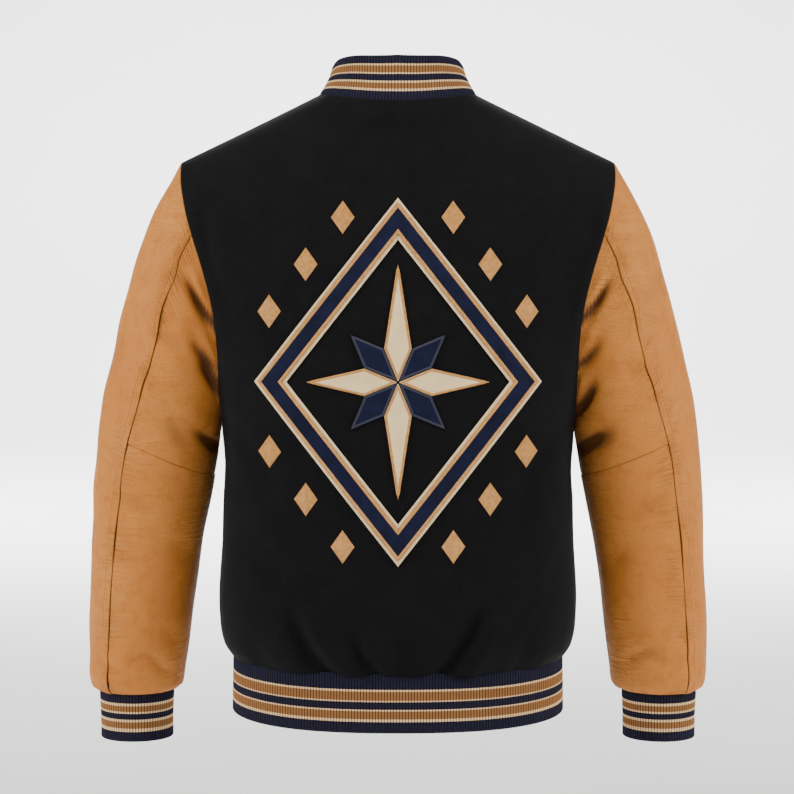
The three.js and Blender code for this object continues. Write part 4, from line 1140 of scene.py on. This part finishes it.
COLLAR_END_TURN = 174.2
COLLAR_ROUND_TURN = 10
COLLAR_HEIGHT = 48
COLLAR_STRIPES = (0.20, 0.245, 0.40, 0.435, 0.589, 0.633, 0.767, 0.822)
COLLAR_RIBS = 151
COLLAR_BOW = 1.6
COLLAR_END_HEIGHT = 0.55
COLLAR = smooth_table(["turn", "rise", "forward", "inward"], [
    (0, 48, 15, 0),
    (30, 46, 15, 4),
    (55, 40, 13, 9),
    (75, 32, 11, 12.5),
    (90, 28, 10, 13.5),
    (120, 30, 10, 8),
    (150, 31, 10, 4),
    (180, 29, 10, 0),
])


def collar_place(shares, up):
    """Points at shares of the collar's length, up from the neck seam, and the way in from them."""
    turn = COLLAR_END_TURN * (2 * shares - 1)
    size = np.abs(turn)
    outward = np.stack([np.sin(np.radians(turn)), np.cos(np.radians(turn)), np.zeros_like(turn)], -1)
    points = neck_point(np.radians(size))
    points[:, 0] *= np.sign(turn)
    points[:, 2] += SEAM_GAP
    from_end = np.clip((COLLAR_END_TURN - size) / COLLAR_ROUND_TURN, 0, 1)
    rounding = COLLAR_END_HEIGHT + (1 - COLLAR_END_HEIGHT) * np.sqrt(1 - (1 - from_end) ** 2)
    level = up / COLLAR_HEIGHT
    bow = COLLAR_BOW * np.sin(math.pi * np.clip(level, 0, 1))
    points[:, 2] += COLLAR["rise"](size) * rounding * level
    points[:, 1] -= COLLAR["forward"](size) * rounding * level
    points -= outward * (COLLAR["inward"](size) * rounding * level + bow)[:, None]
    return points, -outward


collar = rib_band("collar_rib_knit", collar_place, COLLAR_RIBS, COLLAR_HEIGHT, closed=False)
collar_knit = finish(
    "collar_rib_knit", striped_rib(COLLAR_STRIPES, COLLAR_HEIGHT, False), **RIB_GLOSS)
join_piece(collar, collar_knit, "rib_knit", "collar_rib")


# Back applique: felt laid in layers and edged with satin stitch. A lozenge frame in navy on cream
# surrounds an eight-pointed star in cream and navy, with small gold lozenges around them.

FELT = 1.2
PATCH_MIDDLE_Z = -297
FRAME_HALF_WIDTH = 146
FRAME_HALF_HEIGHT = 186
FRAME_CORNERS = np.array([
    (0, FRAME_HALF_HEIGHT),
    (FRAME_HALF_WIDTH, 0),
    (0, -FRAME_HALF_HEIGHT),
    (-FRAME_HALF_WIDTH, 0),
], float)
STRIP_STEPS = 46
BASE_SHARE = (0.775, 1.0)
TOP_SHARE = (0.81, 0.965)
BASE_LIFT = 0.3
TOP_LIFT = 1.6


def on_back(places, height):
    """Places on the back panel, given as seen from behind, at a height over its cloth."""
    laid = []
    for x, up in places.reshape(-1, 2):
        start = Vector((x * 0.001, 1, (PATCH_MIDDLE_Z + up) * 0.001))
        spot, out, _, _ = back_surface.ray_cast(start, Vector((0, -1, 0)))
        out = out if out.y > 0 else -out
        laid.append(spot * 1000 + out * height)
    return np.array([p[:] for p in laid]).reshape(*places.shape[:-1], 3)


def looks_back(points):
    """Whether a grid's own normals point out of the back."""
    out = np.cross(np.gradient(points, axis=1), np.gradient(points, axis=0))
    return np.sum(out[..., 1]) > 0


def felt_layer(name, places, lift, closed=False):
    """One layer of felt, from rows of places on the back."""
    points = on_back(places, lift + FELT)
    felt = lay_cloth(name, points, flip=not looks_back(points))
    if closed:
        bpy.ops.object.mode_set(mode="EDIT")
        bpy.ops.mesh.select_all(action="SELECT")
        bpy.ops.mesh.remove_doubles(threshold=SAME_PLACE)
        bpy.ops.object.mode_set(mode="OBJECT")
    return thickened(felt, FELT)


def frame_band(share, across):
    """Rows of places round the lozenge frame, between two shares of its size."""
    steps = np.linspace(0, 1, STRIP_STEPS + 1)[:-1, None]
    outline = np.concatenate([
        corner + (after - corner) * steps
        for corner, after in zip(FRAME_CORNERS, np.roll(FRAME_CORNERS, -1, axis=0))])
    outline = np.concatenate([outline, outline[:1]])
    return outline[None] * np.linspace(*share, across + 1)[:, None, None]


SATIN_STEP = 2.2
SATIN_BEND = np.linspace(0, math.pi, 7)
LEAST_MITRE = 0.5


def satin_edge(name, corners, lift, width, rise):
    """A raised row of satin stitch along a closed outline on the back, mitred at its corners."""
    path = []
    for corner, after in zip(corners, np.roll(corners, -1, axis=0)):
        count = max(round(np.linalg.norm(after - corner) / SATIN_STEP), 2)
        path.append(corner + (after - corner) * np.linspace(0, 1, count + 1)[:-1, None])
    path = np.concatenate(path)
    ahead = np.roll(path, -1, axis=0) - path
    ahead /= np.linalg.norm(ahead, axis=1, keepdims=True)
    square = np.stack([ahead[:, 1], -ahead[:, 0]], -1)
    across = square + np.roll(square, 1, axis=0)
    across /= np.maximum(np.linalg.norm(across, axis=1, keepdims=True), 0.2)
    mitre = 1 / np.maximum(np.abs(np.sum(across * square, axis=1)), LEAST_MITRE)
    side = np.append(np.cos(SATIN_BEND), [0.0]) * width / 2
    up = np.append(np.sin(SATIN_BEND) ** 0.8, [-0.2]) * rise
    spots = path[None] + across[None] * (side[:, None] * mitre)[..., None]
    out = on_back(path, 1) - on_back(path, 0)
    points = np.array([on_back(row, 0) + out * (lift + h) for row, h in zip(spots, up)])
    points = np.concatenate([points, points[:1]])
    points = np.concatenate([points, points[:, :1]], axis=1)
    length = np.append(0, np.cumsum(np.linalg.norm(np.diff(points[3], axis=0), axis=1)))
    uv = np.stack(np.meshgrid(length * 0.001, np.linspace(0, 1, len(points))), -1)
    edge = lay_cloth(name, points, uv)
    mend(edge)
    return edge


def felt_recipe(dark, light):
    """Pressed felt: short matted fibres and a faintly cloudy colour."""
    tips = (*(min(part * 1.5 + 0.02, 1) for part in light[:3]), 1)

    def recipe(place):
        fibre = place.noise(1300, 4, 0.7)
        cloud = place.noise(60, 3)
        base = cloud.above(0.3, 0.7).blend(dark, light)
        tint = (fibre.above(0.5, 0.75) * 0.25).blend(base, tips)
        height = fibre + place.noise(330, 3) * 0.7
        bump = place.node("Bump", {}, {"Height": height, "Strength": 0.5, "Distance": 0.0005})
        return {"Base Color": tint, "Normal": bump, "Roughness": fibre * 0.12 + 0.82}

    return recipe


SATIN_PITCH = 0.0009


def satin_recipe(dark, light):
    """Satin stitch: close parallel threads across the row, with a silky gloss, painted lighter on each
    thread's crest and darker between threads as painted highlight and shade, with an uneven tone
    besides.
    """
    def recipe(place):
        follow = place.node("UVMap", {"uv_map": "UVMap"})
        along = follow.node("SeparateXYZ", {}, {0: follow}, 0)
        wave = along.math("SINE", along * (2 * math.pi / SATIN_PITCH) + place.noise(500, 2) * 2.0)
        thread = wave * 0.5 + 0.5
        uneven = place.noise(240, 2).above(0.3, 0.7)
        # Painted highlight and shade: the light colour on each thread's crest and the dark one between
        # threads, mixed also by the uneven tone
        tint = (thread * 0.65 + uneven * 0.35).blend(dark, light)
        bump = place.node("Bump", {}, {"Height": thread, "Strength": 0.7, "Distance": 0.0003})
        return {"Base Color": tint, "Normal": bump, "Roughness": uneven * 0.1 + 0.42}

    return recipe


FELT_GLOSS = {"Sheen_Weight": 0.04, "Specular_IOR_Level": 0.15}
cream_felt = finish(
    "cream_felt", felt_recipe(colour(240, 208, 152), colour(250, 222, 170)), **FELT_GLOSS)
navy_felt = finish("navy_felt", felt_recipe(colour(14, 17, 40), colour(19, 23, 52)), **FELT_GLOSS)
# Each satin's first colour is its thread in painted shade between threads, and its second in painted
# highlight on their crests
gold_satin = finish("gold_satin", satin_recipe(colour(170, 108, 42), colour(230, 168, 88)))
cream_satin = finish("cream_satin", satin_recipe(colour(226, 188, 132), colour(255, 230, 184)))
navy_satin = finish("navy_satin", satin_recipe(colour(12, 15, 38), colour(22, 27, 58)))

frame_base = felt_layer(
    "applique_frame_base_felt", frame_band(BASE_SHARE, 8), BASE_LIFT, closed=True)
join_piece(frame_base, cream_felt, "felt_cream", "applique_frame_base")
frame_top = felt_layer(
    "applique_frame_top_felt", frame_band(TOP_SHARE, 6), TOP_LIFT, closed=True)
join_piece(frame_top, navy_felt, "felt_navy", "applique_frame_top")

FRAME_STITCH_WIDTH = 3.4
FRAME_STITCH_RISE = 1.0
BASE_STITCH_LIFT = BASE_LIFT + FELT * 0.6
TOP_STITCH_LIFT = TOP_LIFT + FELT * 0.6
for edge_name, share, lift, material, slot in (
    ("outer_cream", BASE_SHARE[1] - 0.012, BASE_STITCH_LIFT, cream_satin, "felt_cream"),
    ("inner_cream", BASE_SHARE[0] + 0.012, BASE_STITCH_LIFT, cream_satin, "felt_cream"),
    ("outer_gold", TOP_SHARE[1] - 0.006, TOP_STITCH_LIFT, gold_satin, "satin_gold"),
    ("inner_gold", TOP_SHARE[0] + 0.006, TOP_STITCH_LIFT, gold_satin, "satin_gold"),
):
    edge = satin_edge(
        f"applique_frame_{edge_name}_stitch", FRAME_CORNERS * share, lift,
        FRAME_STITCH_WIDTH, FRAME_STITCH_RISE)
    join_piece(edge, material, slot)

STAR_SHOULDER = 34
STAR_REACH = (118, 68, 92, 68)
HALF_ANGLE = math.pi / 8
POINT_GAP = 0.3
POINT_START = 1.5
POINT_COLUMNS = np.linspace(-1, 1, 7)
STAR_STITCH_WIDTH = 2.8
STAR_STITCH_RISE = 1.1
STAR_STITCH_LIFT = BASE_LIFT + FELT * 0.5


def star_point(reach):
    """Rows of places on an upright star point, which widens to its shoulder and then narrows."""
    wide = STAR_SHOULDER * math.tan(HALF_ANGLE) - POINT_GAP
    low = np.linspace(POINT_START, STAR_SHOULDER, 12)
    high = np.linspace(STAR_SHOULDER, reach, 30)[1:]
    half = np.maximum(np.concatenate([
        low * math.tan(HALF_ANGLE) - POINT_GAP,
        wide * (1 - (high - STAR_SHOULDER) / (reach - STAR_SHOULDER)),
    ]), 0.05)
    up = np.repeat(np.concatenate([low, high])[:, None], len(POINT_COLUMNS), axis=1)
    return np.stack([half[:, None] * POINT_COLUMNS, up], -1)


def turned(places, angle):
    """Places on the back, turned clockwise round the star's middle."""
    x, up = places[..., 0], places[..., 1]
    across = x * math.cos(angle) + up * math.sin(angle)
    return np.stack([across, up * math.cos(angle) - x * math.sin(angle)], -1)


for number in range(8):
    reach, angle = STAR_REACH[number % 4], 2 * HALF_ANGLE * number
    if number % 2 == 0:
        felt, felt_slot, thread, thread_slot = cream_felt, "felt_cream", gold_satin, "satin_gold"
    else:
        felt, felt_slot, thread, thread_slot = navy_felt, "felt_navy", navy_satin, "felt_navy"
    name = f"applique_star_{number + 1}"
    point = felt_layer(f"{name}_felt", turned(star_point(reach), angle), BASE_LIFT)
    join_piece(point, felt, felt_slot, name)
    wide = STAR_SHOULDER * math.tan(HALF_ANGLE) - 1.7
    corners = np.array(
        [(0, 4.5), (wide, STAR_SHOULDER), (0, reach - 3.5), (-wide, STAR_SHOULDER)], float)
    edge = satin_edge(
        f"{name}_stitch", turned(corners, angle), STAR_STITCH_LIFT,
        STAR_STITCH_WIDTH, STAR_STITCH_RISE)
    join_piece(edge, thread, thread_slot)

LOZENGE_HALF_HEIGHT = 17
LOZENGE_HALF_WIDTH = 12
LOZENGE_FROM_MIDDLE = 1.28
LOZENGE_SPREAD = 0.2
LOZENGE_ROWS = np.linspace(-1, 1, 41)[:, None]
LOZENGE_COLUMNS = np.linspace(-1, 1, 13)[None, :]
SATIN_THICKNESS = 0.5
SATIN_EDGE_LIFT = 0.6
SATIN_CROWN = 1.5
SATIN_MIDDLE_CREASE = 0.55
SATIN_CREASE_WIDTH = 0.09


def padded_satin(name, middle):
    """A lozenge of padded satin stitch, whose threads slant from its middle line to its edges."""
    up, across = np.broadcast_arrays(LOZENGE_ROWS, LOZENGE_COLUMNS)
    half = LOZENGE_HALF_WIDTH * np.maximum(1 - np.abs(up), 0.01)
    places = np.stack([half * across, LOZENGE_HALF_HEIGHT * up], -1)
    base = on_back(places + middle, 0)
    out = on_back(places + middle, 1) - base
    crown = SATIN_CROWN * (1 - np.abs(across) ** 2.4) * (1 - np.abs(up) ** 6)
    crease = SATIN_MIDDLE_CREASE * np.exp(-(across / SATIN_CREASE_WIDTH) ** 2) * (1 - np.abs(up) ** 2)
    points = base + out * (SATIN_EDGE_LIFT + crown - crease)[..., None]
    slant = (places[..., 1] + np.abs(places[..., 0]) * 0.9) * 0.001
    uv = np.stack([slant, places[..., 0] * 0.001], -1)
    return thickened(lay_cloth(name, points, uv, flip=not looks_back(points)), SATIN_THICKNESS)


for number in range(12):
    side, step = divmod(number, 3)
    first, second = FRAME_CORNERS[side], FRAME_CORNERS[(side + 1) % 4]
    along = 0.5 + LOZENGE_SPREAD * (step - 1)
    middle = (first + (second - first) * along) * LOZENGE_FROM_MIDDLE
    lozenge = padded_satin(f"applique_lozenge_{number + 1}_satin", middle)
    join_piece(lozenge, gold_satin, "satin_gold", f"applique_lozenge_{number + 1}")


# Snaps: seven antique-brass caps down the middle of the left front, the last one on the hem band.
# Each is pressed from sheet with a rolled rim and a shallow dome.

SNAP_FIRST_Z = -112
SNAP_LAST_Z = -622
SNAP_RADIUS = 7.5
SNAP_HEIGHT = 2.7
SNAP_COUNT = 7
SNAP_LIFT = 0.0001

# The radius and rise of the cap's section, from the middle of its underside to its top
SNAP_PROFILE = ((0.0, 0.0), (0.93, 0.0), (1.0, 0.16), (0.985, 0.42), (0.90, 0.58), (0.78, 0.55),
                (0.70, 0.50), (0.60, 0.66), (0.42, 0.86), (0.22, 0.97), (0.0, 1.0))


def antique_brass(place):
    """Brass plate darkened with age, brighter where it is rubbed."""
    rubbed = place.noise(260, 4, 0.6).above(0.38, 0.66)
    spots = place.noise(900, 2).above(0.6, 0.8)
    worn = rubbed.blend(colour(96, 78, 48), colour(176, 148, 98))
    tint = (spots * 0.4).blend(worn, colour(70, 56, 38))
    bump = place.node("Bump", {}, {"Height": place.noise(700, 3), "Strength": 0.2, "Distance": 0.0001})
    return {"Base Color": tint, "Roughness": 0.46 - rubbed * 0.16, "Normal": bump}


brass = finish("antique_brass", antique_brass, Metallic=1.0)
front_surface = BVHTree.FromPolygons(
    [v.co[:] for v in front_left.data.vertices] + [v.co[:] for v in hem.data.vertices],
    [p.vertices[:] for p in front_left.data.polygons]
    + [tuple(i + len(front_left.data.vertices) for i in p.vertices) for p in hem.data.polygons])
for number in range(SNAP_COUNT):
    z = SNAP_FIRST_Z + (SNAP_LAST_Z - SNAP_FIRST_Z) * number / (SNAP_COUNT - 1)
    spot, out, _, _ = front_surface.ray_cast(Vector((0, -1, z * 0.001)), Vector((0, 1, 0)))
    out = out if out.y < 0 else -out
    bpy.ops.mesh.primitive_uv_sphere_add(segments=36, ring_count=2 * len(SNAP_PROFILE) - 2, radius=1)
    cap = bpy.context.object
    cap.name = cap.data.name = f"snap_{number + 1}_brass"
    turn_out = out.to_track_quat("Z", "Y").to_matrix()
    for corner in cap.data.vertices:
        reach = math.hypot(corner.co.x, corner.co.y)
        ring = math.acos(max(min(-corner.co.z, 1), -1)) / math.pi * (len(SNAP_PROFILE) - 1)
        low = min(int(ring + 1e-4), len(SNAP_PROFILE) - 2)
        radius, rise = (
            first + (second - first) * (ring - low)
            for first, second in zip(SNAP_PROFILE[low], SNAP_PROFILE[low + 1]))
        way = Vector((corner.co.x / reach, corner.co.y / reach, 0)) if reach > 1e-6 else Vector()
        seat = Vector((0, 0, rise * SNAP_HEIGHT)) + way * radius * SNAP_RADIUS
        corner.co = spot + out * SNAP_LIFT + turn_out @ (seat * 0.001)
    bpy.ops.object.shade_smooth_by_angle(angle=math.radians(40))
    cap.location = (0, 0, 0)
    join_piece(cap, brass, "snap_metal", f"snap_{number + 1}")


# Studio: a pale floor that sweeps up behind, a camera behind the jacket at the photo's angle, and
# soft light.

FLOOR_Z = -0.86
SWEEP_HALF_WIDTH = 4.5
SWEEP_PROFILE = ((4.5, 0), (-4.6, 0), (-5.5, 0.15), (-6.2, 0.7), (-6.4, 1.5), (-6.4, 4.5))
sweep = lay_cloth("studio_sweep", np.array([
    [(x * 1000, y * 1000, (FLOOR_Z + rise) * 1000) for x in (-SWEEP_HALF_WIDTH, 0, SWEEP_HALF_WIDTH)]
    for y, rise in SWEEP_PROFILE]))
bend = sweep.modifiers.new("bend", "SUBSURF")
bend.levels = bend.render_levels = 3
bpy.ops.object.modifier_apply(modifier=bend.name)
sweep.data.materials.clear()


def studio_paper(place):
    """Matt white paper."""
    return {"Base Color": place.noise(3, 2).blend(colour(246, 246, 246), colour(250, 250, 250))}


sweep.data.materials.append(finish("studio_white", studio_paper, Roughness=0.9))

CAMERA_PLACE = (0.001, 1.95, -0.214)
CAMERA_DROP = 3.05
camera_data = bpy.data.cameras.new("camera")
camera_data.lens = 82.6
camera_data.sensor_width = 36
camera = bpy.data.objects.new("camera", camera_data)
camera.location = CAMERA_PLACE
camera.rotation_euler = (math.radians(90 - CAMERA_DROP), 0, math.radians(180))
bpy.context.scene.collection.objects.link(camera)
bpy.context.scene.camera = camera

# A lamp's name, place, size, power, tint and what it is aimed at
LAMPS = [
    ("left_softbox", (2.05, 0.85, 0.95), 0.8, 54, (1.0, 0.99, 0.96), (0, 0, -0.05)),
    ("right_softbox", (-2.05, 0.85, 0.9), 0.8, 50, (1.0, 0.99, 0.97), (0, 0, -0.05)),
    ("key", (0.15, 2.0, 1.35), 1.0, 19, (1.0, 1.0, 1.0), (0, 0, -0.15)),
    ("front_fill", (0.5, -2.0, 0.9), 1.2, 3, (1.0, 1.0, 1.0), (0, 0, -0.3)),
    ("backdrop_left", (2.4, -2.6, 0.9), 1.8, 280, (1.0, 1.0, 1.0), (0.4, -6.0, 0.1)),
    ("backdrop_right", (-2.4, -2.6, 0.9), 1.8, 280, (1.0, 1.0, 1.0), (-0.4, -6.0, 0.1)),
    ("floor_wash", (0.0, -3.3, 2.0), 1.8, 200, (1.0, 1.0, 1.0), (0, -3.3, -0.86)),
]
for name, place, size, power, tint, aim in LAMPS:
    lamp_data = bpy.data.lights.new(name, "AREA")
    lamp_data.shape = "DISK"
    lamp_data.size = size
    lamp_data.energy = power
    lamp_data.color = tint
    lamp = bpy.data.objects.new(name, lamp_data)
    lamp.location = place
    lamp.rotation_euler = (Vector(aim) - Vector(place)).to_track_quat("-Z", "Y").to_euler()
    bpy.context.scene.collection.objects.link(lamp)

world = bpy.data.worlds.new("studio_air")
world.use_nodes = True
air = world.node_tree.nodes["Background"]
air.inputs["Color"].default_value = (1, 1, 1, 1)
air.inputs["Strength"].default_value = 0.18
bpy.context.scene.world = world
